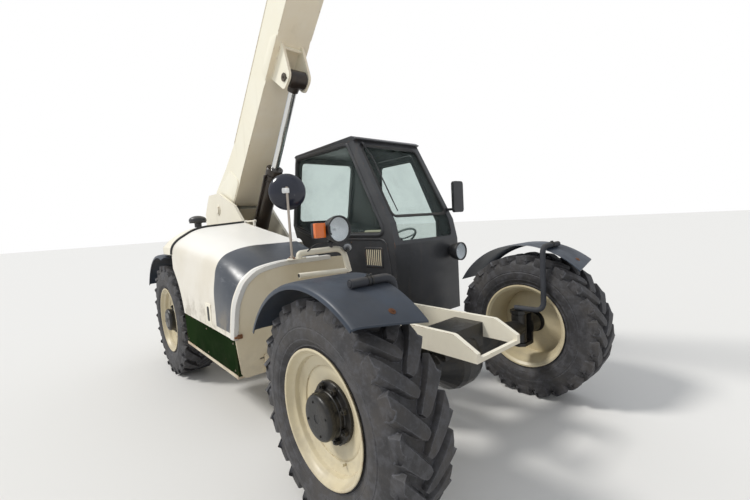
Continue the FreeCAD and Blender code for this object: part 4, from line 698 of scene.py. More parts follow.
def tyre_section():
    """Section of the carcass: radius, distance from the tyre's middle."""
    half = [
        (RIM_RADIUS - 0.016, HALF - 0.034), (RIM_RADIUS + 0.004, HALF - 0.030), (RIM_RADIUS + 0.009, HALF - 0.024),
        (RIM_RADIUS + 0.016, HALF - 0.025), (RIM_RADIUS + 0.026, HALF - 0.018), (RIM_RADIUS + 0.038, HALF - 0.009),
        (RIM_RADIUS + 0.042, HALF - 0.006), (RIM_RADIUS + 0.048, HALF - 0.006), (RIM_RADIUS + 0.052, HALF - 0.003),
        (RIM_RADIUS + 0.075, HALF - 0.001), (RIM_RADIUS + 0.098, HALF), (RIM_RADIUS + 0.102, HALF - 0.003),
        (RIM_RADIUS + 0.106, HALF - 0.003), (RIM_RADIUS + 0.110, HALF - 0.001), (RIM_RADIUS + 0.130, HALF - 0.004),
        (RIM_RADIUS + 0.155, HALF - 0.010), (RIM_RADIUS + 0.180, HALF - 0.018), (CARCASS - 0.010, HALF - 0.030),
        (CARCASS - 0.003, HALF - 0.045), (CARCASS, HALF - 0.09), (CARCASS + 0.002, 0.03),
    ]
    return half + [(r, -y) for r, y in reversed(half)]


def lug_path(share):
    """Top of a lug's centre line: radius, distance from the middle, angle past the nose."""
    run = min(1.0, share / 0.78)
    out = -0.004 + (HALF - 0.014) * run
    turn = PITCH * (0.94 * run + 0.06 * run * run)
    drop = max(0.0, (share - 0.78) / 0.22)
    shoulder = max(0.0, run - 0.86) / 0.14
    return TYRE_RADIUS - 0.0005 - 0.005 * shoulder ** 2 - 0.078 * drop, out + 0.013 * drop, turn


def add_lug(mesh, turn, side):
    """One chunky lug, a slanting bar with sloping flanks that runs down over the shoulder."""
    stations = 14
    rings = []
    for i in range(stations + 1):
        share = i / stations
        radius, out, sweep = lug_path(share)
        over = share > 0.78
        ahead = lug_path(min(0.78, share + 0.02))
        behind = lug_path(max(0.0, min(share, 0.78) - 0.02))
        run_out = ahead[1] - behind[1]
        run_round = (ahead[2] - behind[2]) * TYRE_RADIUS
        length = math.hypot(run_out, run_round)
        wide_y = 0.0 if over else -run_round / length
        wide_a = 1.0 if over else run_out / length
        width = (0.0255 + 0.008 * min(1.0, share / 0.7)) * min(1.0, 0.62 + 3.5 * share)
        if over:
            width /= max(0.6, run_out / length) * 1.05
        foot = 0.040 if share < 0.78 else 0.030
        ring = []
        for offset, depth in ((-1.30, foot), (-1.10, 0.008), (-0.98, 0.0015), (0.0, 0.0), (0.98, 0.0015),
                              (1.10, 0.008), (1.30, foot)):
            sunk = depth + (0.004 if i == 0 else 0)
            back = depth * 0.85 if over else 0.0
            if i == stations:
                back += 0.010
            r = radius - (sunk * 0.35 if over else sunk)
            angle = turn + sweep + wide_a * offset * width / TYRE_RADIUS
            y = side * (out - back) + side * wide_y * offset * width
            ring.append(Vector((r * math.cos(angle), y, r * math.sin(angle))))
        rings.append(ring)
    skin(mesh, rings)


RIM_SECTION = [
    # radius, distance towards the outer face from the tyre's middle, mm
    (326, 145), (330, 147), (330, 150), (327, 152), (321, 152), (316, 149), (311, 139), (305, 128), (299, 121),
    (293, 117), (288, 113), (285, 106), (284, 96), (281, 90), (274, 87), (250, 84), (234, 82), (229, 79),
    (227, 73), (222, 75), (214, 76), (190, 70), (165, 62), (140, 57), (90, 55), (90, 46), (215, 64),
    (262, 76), (266, -50), (290, -100), (300, -135), (318, -150), (330, -150), (330, -144), (312, -136),
    (304, -100), (282, -60), (276, 60), (300, 100), (312, 136),
]
HUB_SECTION = [
    (0, 158), (20, 158), (24, 161), (70, 162), (92, 162), (100, 160), (108, 154), (112, 146), (112, 128),
    (109, 124), (110, 104), (113, 100), (113, 84), (118, 80), (150, 78), (153, 74), (153, 58), (150, 56),
    (0, 56),
]


def wheel_part(section, node, side, count, name, material, extra):
    """Turned part of one wheel, its outer face to the machine's side, standing for its node."""
    mesh = bmesh.new()
    centre = middle("tyre_" + node)
    lathe(mesh, section, centre, (0, side, 0), count)
    extra(mesh, centre, side)
    return piece(name + node, mesh, material, "wheel_" + node, angle=28)


def wheel_nuts(mesh, centre, side):
    """Eight nuts with their studs and the drum's plug."""
    axis = Vector((0, side, 0))
    for i in range(8):
        turn = math.pi / 4 * (i + 0.5)
        spot = centre + Vector((0.131 * math.cos(turn), side * 0.076, 0.131 * math.sin(turn)))
        bolt(mesh, spot, axis, 26, 24)
        disc(mesh, 9, 20, 33, spot, axis, 12)
    for i in range(4):
        turn = math.pi / 2 * i + 0.3
        spot = centre + Vector((0.080 * math.cos(turn), side * 0.1615, 0.080 * math.sin(turn)))
        bolt(mesh, spot, axis, 8, 5)


def valve(mesh, centre, side):
    """Valve stem on the rim's well."""
    spot = centre + Vector((0.10, side * 0.075, -0.215))
    disc(mesh, 6, -2, 34, spot, (0.2, side, 0.25), 12)


for wheel in WHEELS:
    side = -1 if wheel.endswith("right") else 1
    mesh = turned(tyre_section(), 132)
    for i in range(LUGS):
        add_lug(mesh, NOSE + i * PITCH, -1)
        add_lug(mesh, NOSE + (i + 0.5) * PITCH, 1)
    bmesh.ops.transform(mesh, matrix=Matrix.Translation(middle("tyre_" + wheel)), verts=mesh.verts)
    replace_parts(piece("tyre_tread_" + wheel, mesh, RUBBER, "wheel_" + wheel), "tyre_" + wheel)
    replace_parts(wheel_part(RIM_SECTION, wheel, side, 96, "wheel_rim_", BEIGE, valve), "rim_" + wheel)
    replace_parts(wheel_part(HUB_SECTION, wheel, side, 64, "wheel_hub_", GREASE, wheel_nuts), "hub_" + wheel)

# Engine side: hood, cowl, flange, green box

POD_SIDE = -1107
POD_LOW = 796
HOOD_INNER = -380
ARCH = 690
# Hood sections from the foot to the inner edge: x, top, then offset from the side and from the top
HOOD_SECTIONS = (
    (-1040, 1275, ((-15, -479), (10, -290), (26, -226), (84, -105), (178, -38), (262, -18), (392, 0))),
    (-1330, 1390, ((-9, -594), (-2, -300), (36, -126), (64, -80), (114, -40), (210, -14), (312, 0))),
    (-2470, 1586, ((0, -790), (0, -400), (0, -244), (16, -190), (64, -138), (206, -54), (312, -28))),
)


def section_line(index, grow=0, first=0):
    """Smooth (y, z) line of one hood section in mm, moved out by grow."""
    top, offsets = HOOD_SECTIONS[index][1:]
    line = [(POD_SIDE + y - grow, top + z + grow) for y, z in offsets[first:]]
    if not first:
        line[0] = (line[0][0], POD_LOW)
    line.append((HOOD_INNER, top + grow))
    return [Vector((p.x, p.y)) for p in eased([(y, z, 0) for y, z in line], 60)]


SECTION_LINES = [section_line(i) for i in range(3)]
HOOD_EASE = 220


def hood_line(x):
    """The hood's line at x, straight between sections and eased over the middle one."""
    front, centre, rear = (HOOD_SECTIONS[i][0] for i in range(3))
    points = []
    for a, b, c in zip(*SECTION_LINES):
        if x > centre + HOOD_EASE:
            share = (x - centre) / (front - centre)
            points.append(b.lerp(a, share))
        elif x < centre - HOOD_EASE:
            share = (centre - x) / (centre - rear)
            points.append(b.lerp(c, share))
        else:
            start = b.lerp(a, HOOD_EASE / (front - centre))
            end = b.lerp(c, HOOD_EASE / (centre - rear))
            share = (centre + HOOD_EASE - x) / (2 * HOOD_EASE)
            points.append(start * (1 - share) ** 2 + b * 2 * share * (1 - share) + end * share ** 2)
    return points


def arch_height(x):
    """Lower edge of the hood at x, over the rear wheel's arch."""
    gap = ARCH ** 2 - (x - REAR) ** 2
    return max(POD_LOW, AXLE_LEVEL + math.sqrt(gap)) if gap > 0 else POD_LOW


def hood():
    stations = [-1040 - 30 * i for i in range(39)]
    stations += [REAR + ARCH * math.cos(math.radians(a)) for a in range(15, 55, 3)] + [-2470]
    stations = sorted(set(round(x, 1) for x in stations if x >= -2470), reverse=True)
    grid = []
    for x in stations:
        low = arch_height(x)
        line = hood_line(x)
        line[0] = Vector((line[0].x, low))
        line = [p if p.y > low or k > 6 else Vector((p.x, low + k * 0.2)) for k, p in enumerate(line)]
        grid.append([mm(x, p.x, p.y) for p in line])
    mesh = bmesh.new()
    shell(mesh, grid, 7, mm(-1800, -700, 900))
    # Hinge lugs on the rod along the inner edge
    for x in (-2440, -2220):
        top = hood_line(x + 10)[-1].y
        box(mesh, (x, -392, top - 8), (x + 20, -370, 1596), 2)
        disc(mesh, 14, -10, 10, mm(x + 10, -372, 1594), (1, 0, 0), 20)
    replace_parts(piece("hood_shell", mesh, HOOD, "hood", angle=40), "hood")
    # Rubber edge along the hood's rear
    mesh = bmesh.new()
    line = [mm(-2464, p.x - 2, p.y + 4) for p in section_line(2)[6:]]
    hose(mesh, line, 13, 20, 10, 2)
    piece("hood_seal", mesh, SEAL, "hood")
    # Latch: paler plate near the lower front corner, with a black sheet on it as painted shade for the slot's opening
    mesh = bmesh.new()
    slab(mesh, plate((-1560, 816), (-1432, 978), 8), upright, POD_SIDE - 9, POD_SIDE + 4, 1)
    piece("hood_latch_plate", mesh, CREAM, "hood")
    mesh = bmesh.new()
    slab(mesh, plate((-1512, 842), (-1468, 954), 18), upright, POD_SIDE - 11, POD_SIDE - 8, 0.5)
    piece("hood_latch_slot", mesh, SEAL, "hood")


def bay_front():
    """Flange that the hood closes on, and the front wall and floor of the engine bay."""
    mesh = bmesh.new()
    path = [(p.x, p.y) for p in section_line(0)][::-1]
    path = [(-320, path[0][1])] + path
    moulding(mesh, path, [(-4, -1034), (3, -1034), (5, -1032), (5, -984), (3, -977), (-3, -974), (-26, -974),
                          (-28, -976), (-28, -980), (-4, -981)], across, closed=False)
    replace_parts(piece("bay_flange", mesh, FLANGE, angle=40), "engine_bulkhead")
    mesh = bmesh.new()
    top = HOOD_SECTIONS[0][1]
    line = [(p.x, p.y) for p in section_line(0, -9, 1)]
    outline = [(-1048, 520), (-1074, 530), (-1089, 556), (-1112, POD_LOW)] + line + [
        (-169, top - 14), (-169, 872), (-325, 872), (-325, 520)]
    slab(mesh, outline, across, -992, -980, 1.5)
    box(mesh, (REAR + 720, -957, 620), (-980, -325, 632), 2)
    # The wall and floor take the darker cream copy, painted shade.
    piece("bay_wall", mesh, SHADED_BAY_CREAM)
    # Hood catch and a rusty hinge on the wall
    mesh = bmesh.new()
    box(mesh, (-980, -926, 522), (-950, -884, 650), 5)
    box(mesh, (-954, -918, 600), (-936, -892, 634), 4)
    bolt(mesh, mm(-950, -905, 556), (1, 0, 0), 10, 6)
    piece("bay_catch", mesh, SHADED_BAY_CREAM)
    mesh = bmesh.new()
    box(mesh, (-980, -1100, 800), (-968, -1066, 828), 2)
    disc(mesh, 8, -20, 20, mm(-966, -1102, 814), (0, 1, 0), 16)
    for y in (-1090, -1074):
        bolt(mesh, mm(-968, y, 814), (1, 0, 0), 6, 4)
    piece("bay_hinge", mesh, RUSTY)


COWL_DROP = 274


def cowl():
    """Fixed cowl behind the hood with its rod and bracket, and the intake cap."""
    top = HOOD_SECTIONS[2][1]
    line = [Vector((POD_SIDE, top - COWL_DROP)), Vector((POD_SIDE, top - 205))] + section_line(2, 0, 3)
    grid = [[mm(x, p.x, p.y) for p in line] + [mm(x, HOOD_INNER, top - COWL_DROP)]
            for x in (-2478, -2560, -2660, -2750, -2776)]
    centre = mm(-2650, -700, 1450)
    last = [spot + (centre - spot) * 0.02 - Vector((0.012, 0, 0)) for spot in grid[-1]]
    mesh = bmesh.new()
    shell(mesh, grid + [last], 7, centre)
    slab(mesh, [(p.x, p.y) for p in line] + [(HOOD_INNER, top - COWL_DROP)], across, REAR + 81, REAR + 88, 2)
    box(mesh, (REAR + 140, -381, top - 226), (REAR + 240, -325, top - 196), 2)
    disc(mesh, 8, -155, 155, mm(REAR + 525, -372, 1594), (1, 0, 0), 20)
    box(mesh, (REAR + 362, -386, top - 12), (REAR + 392, -362, 1606), 2)
    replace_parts(piece("cowl_shell", mesh, CREAM, angle=40), "rear_cowl")
    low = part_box("air_precleaner")[0]
    spot = Vector((middle("air_precleaner").x, middle("air_precleaner").y, low.z))
    mesh = bmesh.new()
    lathe(mesh, [(0, 0), (30, 0), (34, 4), (34, 40), (44, 49), (68, 51), (79, 55), (84, 63), (84, 78), (80, 90),
                 (70, 101), (52, 111), (28, 118), (0, 120)], spot, (0, 0, 1), 48)
    for i in range(24):
        turn = 2 * math.pi * i / 24
        box(mesh, (-2, 62, 46), (2, 80, 53), 0.8,
            lambda x, y, z, t=turn: spot + Matrix.Rotation(t, 3, "Z") @ Vector((x, y, z)) / 1000)
    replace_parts(piece("intake_cap", mesh, BLACK), "air_precleaner")


def skirt():
    """Sill along the glossy side box, and its screws."""
    x0 = (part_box("engine_skirt")[0].x - AXLE_X) * 1000
    mesh = bmesh.new()
    box(mesh, (x0 + 20, POD_SIDE - 4, 520), (-996, POD_SIDE + 40, 545), 3)
    piece("skirt_sill", mesh, SILL)
    mesh = bmesh.new()
    for x in (x0 + 60, -1600, -1040):
        for z in (572, 760):
            if x > x0 + 80 or z < 600:
                bolt(mesh, mm(x, POD_SIDE, z), (0, -1, 0), 8, 5)
    piece("skirt_bolts", mesh, BOLT)


hood()
bay_front()
cowl()
skirt()

# Fenders

FENDER_ROOM = 370
EDGE_SLANT = 6


def fender(name, body, centre_x, side, inner, start, end, out):
    """Crowned shell over a wheel with a turned-down outer edge."""
    wide = out - FENDER_ROOM
    path = [(centre_x + inner * math.cos(math.radians(a)), AXLE_LEVEL + inner * math.sin(math.radians(a)))
            for a in [start + (end - start) * i / 48 for i in range(49)]]
    profile = [(1, wide), (5, wide + 2), (7.5, wide + 60), (8, wide + 180), (8, out - 60), (5, out - 22),
               (-1, out - 6), (-10, out), (-24, out), (-24, out - 5), (-10, out - 6), (-4, out - 14),
               (1, out - 26), (3, out - 60), (3, wide + 180), (2, wide + 60)]
    mesh = bmesh.new()
    moulding(mesh, path, [(a, side * y) for a, y in profile], upright, closed=False)
    edge = []
    for y, lift in ((wide + 4, 0), (wide + 60, 2), (wide + 180, 3), (out - 60, 3), (out - 20, 0), (out - 4, -10)):
        turn = math.radians(start)
        far = inner + lift
        edge.append(mm(centre_x + far * math.cos(turn), side * y, AXLE_LEVEL + far * math.sin(turn)))
    hose(mesh, edge, 6, 30, 8, 3)
    # The front edge runs forward towards the machine's middle
    centre = mm(centre_x, 0, AXLE_LEVEL)
    for vert in mesh.verts:
        away = vert.co - centre
        angle = math.degrees(math.atan2(away.z, away.x))
        if angle < 85:
            share = (85 - angle) / (85 - start) * (out / 1000 - abs(vert.co.y)) / (FENDER_ROOM / 1000)
            turn = math.radians(angle - EDGE_SLANT * share)
            far = math.hypot(away.x, away.z)
            vert.co.x = centre.x + far * math.cos(turn)
            vert.co.z = centre.z + far * math.sin(turn)
    return piece(name, mesh, PLASTIC, body, angle=50)


def on_fender(angle, out, radius, side):
    """Point over a front fender."""
    turn = math.radians(angle)
    return mm(radius * math.cos(turn), side * out, AXLE_LEVEL + radius * math.sin(turn))


for label, side in (("right", -1), ("left", 1)):
    body = "knuckle_front_" + label
    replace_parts(fender("fender_shell_front_" + label, body, 0, side, 645, 53, 149, 1170),
                "fender_front_" + label)
    # Padded stay over the shell and down to the knuckle
    lie = AXLE_LEVEL + math.sqrt(673.6 ** 2 - 200 ** 2)
    mesh = bmesh.new()
    hose(mesh, [mm(200, side * 1024, lie), mm(200, side * 762, lie), mm(200, side * 762, 782.6),
                mm(-20, side * 740, 782.6)], 20, 70, 20)
    disc(mesh, 13, -3, 3, mm(200, side * 1025, lie), (0, side, 0), 20)
    piece("fender_stay_" + label, mesh, FOAM, body)
    mesh = bmesh.new()
    for y in (905, 925):
        lathe(mesh, [(20, -5), (23, -5), (23.5, 0), (23, 5), (20, 5)], mm(200, side * y, lie), (0, 1, 0), 24)
        box(mesh, (196, side * y - 4, lie + 20), (208, side * y + 4, lie + 31), 1)
    piece("stay_straps_" + label, mesh, SEAL, body)
    mesh = bmesh.new()
    for angle, out in ((55, 946), (143, 1000)):
        turn = math.radians(angle)
        disc(mesh, 17, -1, 2.5, on_fender(angle, out, 653, side), (math.cos(turn), 0, math.sin(turn)), 24)
        bolt(mesh, on_fender(angle, out, 655, side), (math.cos(turn), 0, math.sin(turn)), 9, 6)
    piece("fender_bolts_" + label, mesh, RUSTY, body)
    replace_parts(fender("fender_shell_rear_" + label, "chassis", REAR, side, 675, 76, 151, 1150),
                "fender_rear_" + label)
    mesh = bmesh.new()
    reach = 125 if side > 0 else -325
    ends = sorted((reach, side * 840))
    box(mesh, (REAR - 60, ends[0], 1263), (REAR, ends[1], 1300), 3)
    piece("fender_bar_rear_" + label, mesh, CREAM)

# Lamps and mirrors

BRACKET = (-900, 1280.3)


def lamp_bracket():
    x, z = BRACKET
    mesh = bmesh.new()
    outline = [(x - 15 + 55 * math.cos(t), -650 + 70 * math.sin(t)) for t in
               [2 * math.pi * i / 28 for i in range(28)]]
    slab(mesh, outline, level, z + 6, z + 16, 1.5)
    box(mesh, (x - 90, -690, z), (x - 30, -610, z + 10), 2)
    hose(mesh, [mm(x + 20, -650, z + 10), mm(x + 20, -650, z + 48), mm(x + 110, -330, z + 60),
                mm(x + 130, -300, z - 120)], 22, 70, 24)
    hose(mesh, [mm(-792, -712, 1184), mm(-772, -300, 1172)], 18, 5, 20)
    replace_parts(piece("bracket_arm", mesh, CREAM), "lamp_bracket")
    mesh = bmesh.new()
    disc(mesh, 9, 0, 520, mm(x - 10, -690, z), (0, 0, 1), 24)
    disc(mesh, 15, 8, 34, mm(x - 10, -690, z), (0, 0, 1), 24)
    piece("mirror_rod", mesh, ROD)
    mesh = bmesh.new()
    disc(mesh, 14, 46, 1400 - z, mm(x + 88, -420, z), (0, 0, 1), 24)
    disc(mesh, 24, 1380 - z, 1402 - z, mm(x + 88, -420, z), (0, 0, 1), 24)
    piece("lamp_stalk", mesh, BLACK)
    mesh = bmesh.new()
    for dx, y in ((-40, -692), (-40, -608), (22, -690)):
        bolt(mesh, mm(x + dx, y, z + 16), (0, 0, 1), 11, 8)
    piece("bracket_bolts", mesh, RUSTY)
    mesh = bmesh.new()
    disc(mesh, 14, 0, 2, mm(-792, -712, 1184), (0, -1, 0), 20, 0.5)
    piece("bracket_tube_end", mesh, SEAL)
    # Small round work lamp on the tube
    mesh = bmesh.new()
    centre = mm(x + 162, -324, z + 64)
    lathe(mesh, [(0, -30), (18, -29), (28, -22), (33, -8), (34, 6), (34, 12), (31, 13), (29, 9), (0, 9)], centre,
          (0.8, -0.6, -0.1), 32)
    hose(mesh, [centre, mm(x + 112, -312, z + 52)], 8, 5)
    piece("work_lamp", mesh, BLACK)
    mesh = bmesh.new()
    lathe(mesh, [(0, 12), (20, 11), (29, 9), (29, 8), (0, 9)], centre, (0.8, -0.6, -0.1), 32)
    piece("work_lamp_lens", mesh, SMOKED)


LAMP = [(0, -110), (18, -109), (34, -104), (50, -94), (63, -78), (72, -58), (79, -34), (83.5, -8), (85, 2),
        (85, 20), (83, 22), (77, 22), (75, 19), (74, 10), (62, -24), (40, -50), (0, -58)]
REFLECTOR = [(74, 12), (62, -22), (52, -36), (40, -47), (20, -54), (0, -56), (0, -54), (20, -52), (40, -45),
             (52, -34), (61, -21), (73, 12)]
LAMP_GLASS = [(0, 21), (25, 20.5), (50, 18), (66, 15), (75, 12), (75, 9), (66, 12), (50, 15), (25, 17.5),
              (0, 18)]
BEZEL = [(82, -2), (86, -2), (86, 22), (81, 23), (79, 16)]


def headlamp(label, centre, size):
    ahead = (1, 0, 0)
    housing, bezel, back, glass = ([(r * size, y * size) for r, y in outline]
                                   for outline in (LAMP, BEZEL, REFLECTOR, LAMP_GLASS))
    mesh = bmesh.new()
    lathe(mesh, housing, centre, ahead, 56)
    lathe(mesh, bezel, centre, ahead, 56)
    shell_piece = piece("lamp_housing_" + label, mesh, BLACK)
    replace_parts(shell_piece, "headlamp_" + label)
    mesh = bmesh.new()
    lathe(mesh, back, centre, ahead, 48)
    lathe(mesh, [(0, -50), (9, -48), (9, -22), (6, -16), (0, -14)], centre, ahead, 20)
    # Reflector in the near-white painted-reflection grey.
    piece("lamp_reflector_" + label, mesh, PAINTED_REFLECTION_GREY)
    mesh = bmesh.new()
    lathe(mesh, glass, centre, ahead, 48)
    piece("lamp_glass_" + label, mesh, LENS)


def lamps_and_mirrors():
    z = 1486
    headlamp("right", mm(-742, -398, z - 4), 1.16)
    headlamp("left", mm(-690, 960, 1190), 1.0)
    mesh = bmesh.new()
    box(mesh, (-802, -588, z - 58), (-772, -500, z + 50), 7)
    box(mesh, (-798, -520, z - 30), (-768, -440, z + 26), 5)
    disc(mesh, 16, -88, -27, mm(-808, -425, z), (0, 0, 1), 24)
    hose(mesh, [mm(-790, -430, z - 80), mm(-770, -470, z - 100), mm(-800, -560, z - 96), mm(-850, -600, z - 150)],
         5, 60, 10)
    piece("indicator_case_right", mesh, BLACK)
    mesh = bmesh.new()
    box(mesh, (-774, -587, z - 57), (-738, -502, z + 49), 6)
    piece("indicator_lens_right", mesh, AMBER)
    # Left lamp's foot on the cab's front
    mesh = bmesh.new()
    box(mesh, (-802, 935, 1170), (-795, 985, 1210), 2)
    hose(mesh, [mm(-800, 960, 1190), mm(-770, 960, 1190)], 18, 5)
    piece("lamp_foot_left", mesh, BLACK)
    # Round mirror, its face turned to the driver
    rod = mm(-910, -690, 1769)
    away = Vector((math.sin(math.radians(60)), -math.cos(math.radians(60)), 0))
    centre = rod - away * 0.0513
    mesh = bmesh.new()
    lathe(mesh, [(0, -42), (20, -41.5), (44, -39.5), (66, -35.5), (88, -28), (106, -18), (119, -7), (127, 2), (130, 7),
                 (130, 12), (128, 14), (123, 14), (121, 11), (0, 11)], centre, -away, 64)
    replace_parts(piece("mirror_bowl", mesh, DISH), "mirror_right")
    mesh = bmesh.new()
    lathe(mesh, [(0, 11), (121, 11), (121, 12), (0, 13.5)], centre, -away, 64)
    piece("mirror_face_right", mesh, MIRROR)
    mesh = bmesh.new()
    side_way = Vector((0, 0, 1)).cross(away)
    for start, end, thick in ((-34, 16, 9), (-8, 10, 20)):
        part = bmesh.new()
        bmesh.ops.create_cube(part, size=1)
        bmesh.ops.bevel(part, geom=part.edges[:], offset=0.15, segments=3, profile=0.5, affect="EDGES")
        matrix = Matrix.Translation(rod + side_way * ((start + end) / 2000) + Vector((0, 0, 0.005))) @ Matrix(
            (side_way, Vector((0, 0, 1)), away)).transposed().to_4x4() @ Matrix.Diagonal(
            ((end - start) / 1000, 0.036, thick / 1000, 1))
        merge(mesh, part, matrix)
    piece("mirror_clamp", mesh, WHITE)
    mesh = bmesh.new()
    slab(mesh, plate((1010, 1570), (1140, 1850), 24), across, -791.5, -789, 0.5)
    piece("mirror_face_left", mesh, MIRROR)


lamp_bracket()
lamps_and_mirrors()

# Cab

CAB_RIGHT = 220
CAB_LEFT = 1080
SEAT_Y = 650
ROOF_UNDER = 2270
SIDE_WINDOW = [(-930, 1410, 50), (REAR + 1486, 2246, 60), (REAR + 560, 2246, 60), (REAR + 430, 1500, 60),
               (REAR + 770, 1410, 40)]
DOOR_WINDOW = [(-1030, 980, 60), (-1030, 1480, 30), (REAR + 1520, 2140, 60), (REAR + 1020, 2140, 60),
               (REAR + 940, 980, 60)]
SCREEN = ((-845, 1500), (REAR + 1594, ROOF_UNDER))


def cab_trim():
    for name, outline, y, out, body in (("side", SIDE_WINDOW, CAB_RIGHT, -1, "chassis"),
                                        ("door", DOOR_WINDOW, CAB_LEFT, 1, "cab_door")):
        path = anticlockwise(rounded(outline, 8))
        mesh = bmesh.new()
        moulding(mesh, path, [(-3, y - out * 30), (-3, y + out * 4), (2, y + out * 9), (10, y + out * 11),
                              (24, y + out * 9), (32, y + out * 2), (32, y - out * 2), (2, y - out * 4)], upright)
        piece("window_frame_" + name, mesh, CHARCOAL, body, angle=50)
        mesh = bmesh.new()
        moulding(mesh, path, [(-3, y - out * 6), (-12, y - out * 7), (-14, y - out * 12), (-14, y - out * 28),
                              (-3, y - out * 30)], upright)
        piece("window_seal_" + name, mesh, SEAL, body, angle=50)
    # Windscreen's frame lies on the sloping face
    (low_x, low_z), (high_x, high_z) = SCREEN
    slope = (high_x - low_x) / (high_z - low_z)

    def on_screen(a, b, up):
        return mm(low_x + slope * (b - low_z) + up, a, b)

    outline = anticlockwise(plate((290, 1560), (1010, 2220), 50, 6))
    mesh = bmesh.new()
    moulding(mesh, outline, [(-8, -18), (-8, 3), (0, 7), (14, 6), (18, 1), (18, -2), (2, -4)], on_screen)
    piece("screen_seal", mesh, SEAL, angle=50)
    # Wiper
    mesh = bmesh.new()
    hose(mesh, [on_screen(300, 2236, 16), on_screen(330, 2120, 34), on_screen(345, 1700, 26)], 6, 60, 10)
    hose(mesh, [on_screen(340, 2010, 24), on_screen(352, 1600, 22)], 5, 10, 8)
    disc(mesh, 16, -2, 22, on_screen(300, 2236, 4), (1, 0, 0.5), 20)
    piece("wiper", mesh, BLACK)
    # Air slots in the lower side panel
    mesh = bmesh.new()
    outline = anticlockwise(plate((-1196, 1118), (-968, 1276), 12, 4))
    moulding(mesh, outline, [(-8, 222), (-8, 216), (-4, 213), (8, 213), (12, 217), (12, 222)], upright)
    for i in range(9):
        x = -1192 + 26.5 * i
        box(mesh, (x, 214, 1124), (x + 12, 222, 1270), 2)
    piece("cab_vent_frame", mesh, CHARCOAL)
    mesh = bmesh.new()
    slab(mesh, [(-1190, 1124), (-974, 1124), (-974, 1270), (-1190, 1270)], upright, 217.5, 221, 0)
    piece("cab_vent_back", mesh, LEDGE)
    # Pressed line under the side window and screws
    mesh = bmesh.new()
    hose(mesh, [mm(x, 218, z) for x, z in
                ((-1700, 1360), (-960, 1360), (-900, 1330), (-860, 1100), (-860, 760))], 7, 60, 10)
    piece("cab_side_bead", mesh, CHARCOAL)
    mesh = bmesh.new()
    for x, z in ((-830, 700), (-830, 1000), (-1400, 700), (-1900, 700), (-1400, 1330)):
        bolt(mesh, mm(x, CAB_RIGHT, z), (0, -1, 0), 9, 5)
    for x in (-1010, -1700):
        bolt(mesh, mm(x, CAB_LEFT, 660), (0, 1, 0), 9, 5)
    for z in (908, 942, 1408, 1442):
        bolt(mesh, mm(REAR + 850, 1085, z), (0, 1, 0), 6, 4)
    piece("cab_bolts", mesh, BOLT)
    # Roof with rolled edges
    mesh = bmesh.new()
    slab(mesh, rounded([(REAR + 1594, 2270), (REAR + 1630, 2284, 8), (REAR + 1570, 2316, 60), (REAR + 540, 2300, 30),
                        (REAR + 500, 2284, 8), (REAR + 525, 2270)], 8), upright, CAB_RIGHT, CAB_LEFT, 20)
    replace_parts(piece("roof_shell", mesh, CHARCOAL, angle=50), "cab_roof")
    # Rain rail round the roof
    mesh = bmesh.new()
    outline = plate((REAR + 640, 300), (REAR + 1480, 1000), 60, 6)
    moulding(mesh, outline, [(-14, 2300), (-10, 2306), (0, 2308), (10, 2306), (14, 2300)], level)
    piece("roof_bead", mesh, CHARCOAL, angle=50)
    # Beige shelf under the side window, seen through it
    mesh = bmesh.new()
    box(mesh, (-1250, 262, 1350), (-862, 330, 1440), 12)
    piece("cab_shelf", mesh, LEDGE)
    mesh = bmesh.new()
    box(mesh, (-1900, 262, 1340), (-1260, 300, 1396), 12)
    for i in range(4):
        disc(mesh, 16, 0, 50, mm(-1320 - 60 * i, 285, 1396), (0, 0, 1), 20)
    piece("side_console", mesh, VINYL)


COLUMN = 159.3  # length of the steering column over the dash


def steering_wheel():
    centre = mm(-1090 - 0.6 * COLUMN, SEAT_Y, 1190 + 0.8 * COLUMN)
    normal = Vector((-0.6, 0, 0.8))
    mesh = bmesh.new()
    ring = []
    for i in range(14):
        angle = 2 * math.pi * i / 14
        ring.append((185 + 11 * math.cos(angle), 11 * math.sin(angle)))
    lathe(mesh, ring, centre, normal, 72)
    lathe(mesh, [(0, 14), (20, 13), (34, 8), (38, 0), (30, -9), (0, -9)], centre, normal, 36)
    across_way = Vector((0, 1, 0))
    up_way = normal.cross(across_way)
    for k in range(3):
        angle = math.radians(90 + 120 * k)
        away = across_way * math.cos(angle) + up_way * math.sin(angle)
        hose(mesh, [centre + away * 0.03, centre + away * 0.11 - normal * 0.008, centre + away * 0.18], 8, 40, 10)
    knob = centre + (across_way * 0.6 + up_way * 0.8) * 0.185
    lathe(mesh, [(0, 0), (7, 2), (7, 26), (20, 34), (22, 46), (16, 58), (0, 60)], knob, normal, 28)
    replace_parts(piece("steering_hoop", mesh, WHEEL_GREY), "steering_wheel")


def cushion(mesh, low, high, crown, rolls, lean=None):
    """Upholstered pad between two table corners with sewn rolls across it."""
    steps = 26
    middle_y, half_y = (low[1] + high[1]) / 2, (high[1] - low[1]) / 2
    middle_z, half_z = (low[2] + high[2]) / 2, (high[2] - low[2]) / 2
    rings = []
    for i in range(steps + 1):
        u = i / steps
        ring = []
        pull = 1 - 0.5 * abs(2 * u - 1) ** 9
        groove = 1.0 - (0.16 if any(abs(u - r) < 0.02 for r in rolls) else 0.0)
        for k in range(28):
            angle = 2 * math.pi * k / 28
            c = math.copysign(abs(math.cos(angle)) ** 0.42, math.cos(angle))
            s = math.copysign(abs(math.sin(angle)) ** 0.42, math.sin(angle))
            y = middle_y + half_y * c * (0.985 if groove < 1 else 1) * (0.9 + 0.1 * pull)
            puff = crown * (1 - ((y - middle_y) / half_y) ** 2) * pull if s > 0 else 0
            z = middle_z + (half_z * s * groove + puff * s) * pull
            x = low[0] + (high[0] - low[0]) * u
            spot = Vector((x, y, z))
            ring.append(lean(spot) if lean else mm(*spot))
        rings.append(ring)
    skin(mesh, rings)


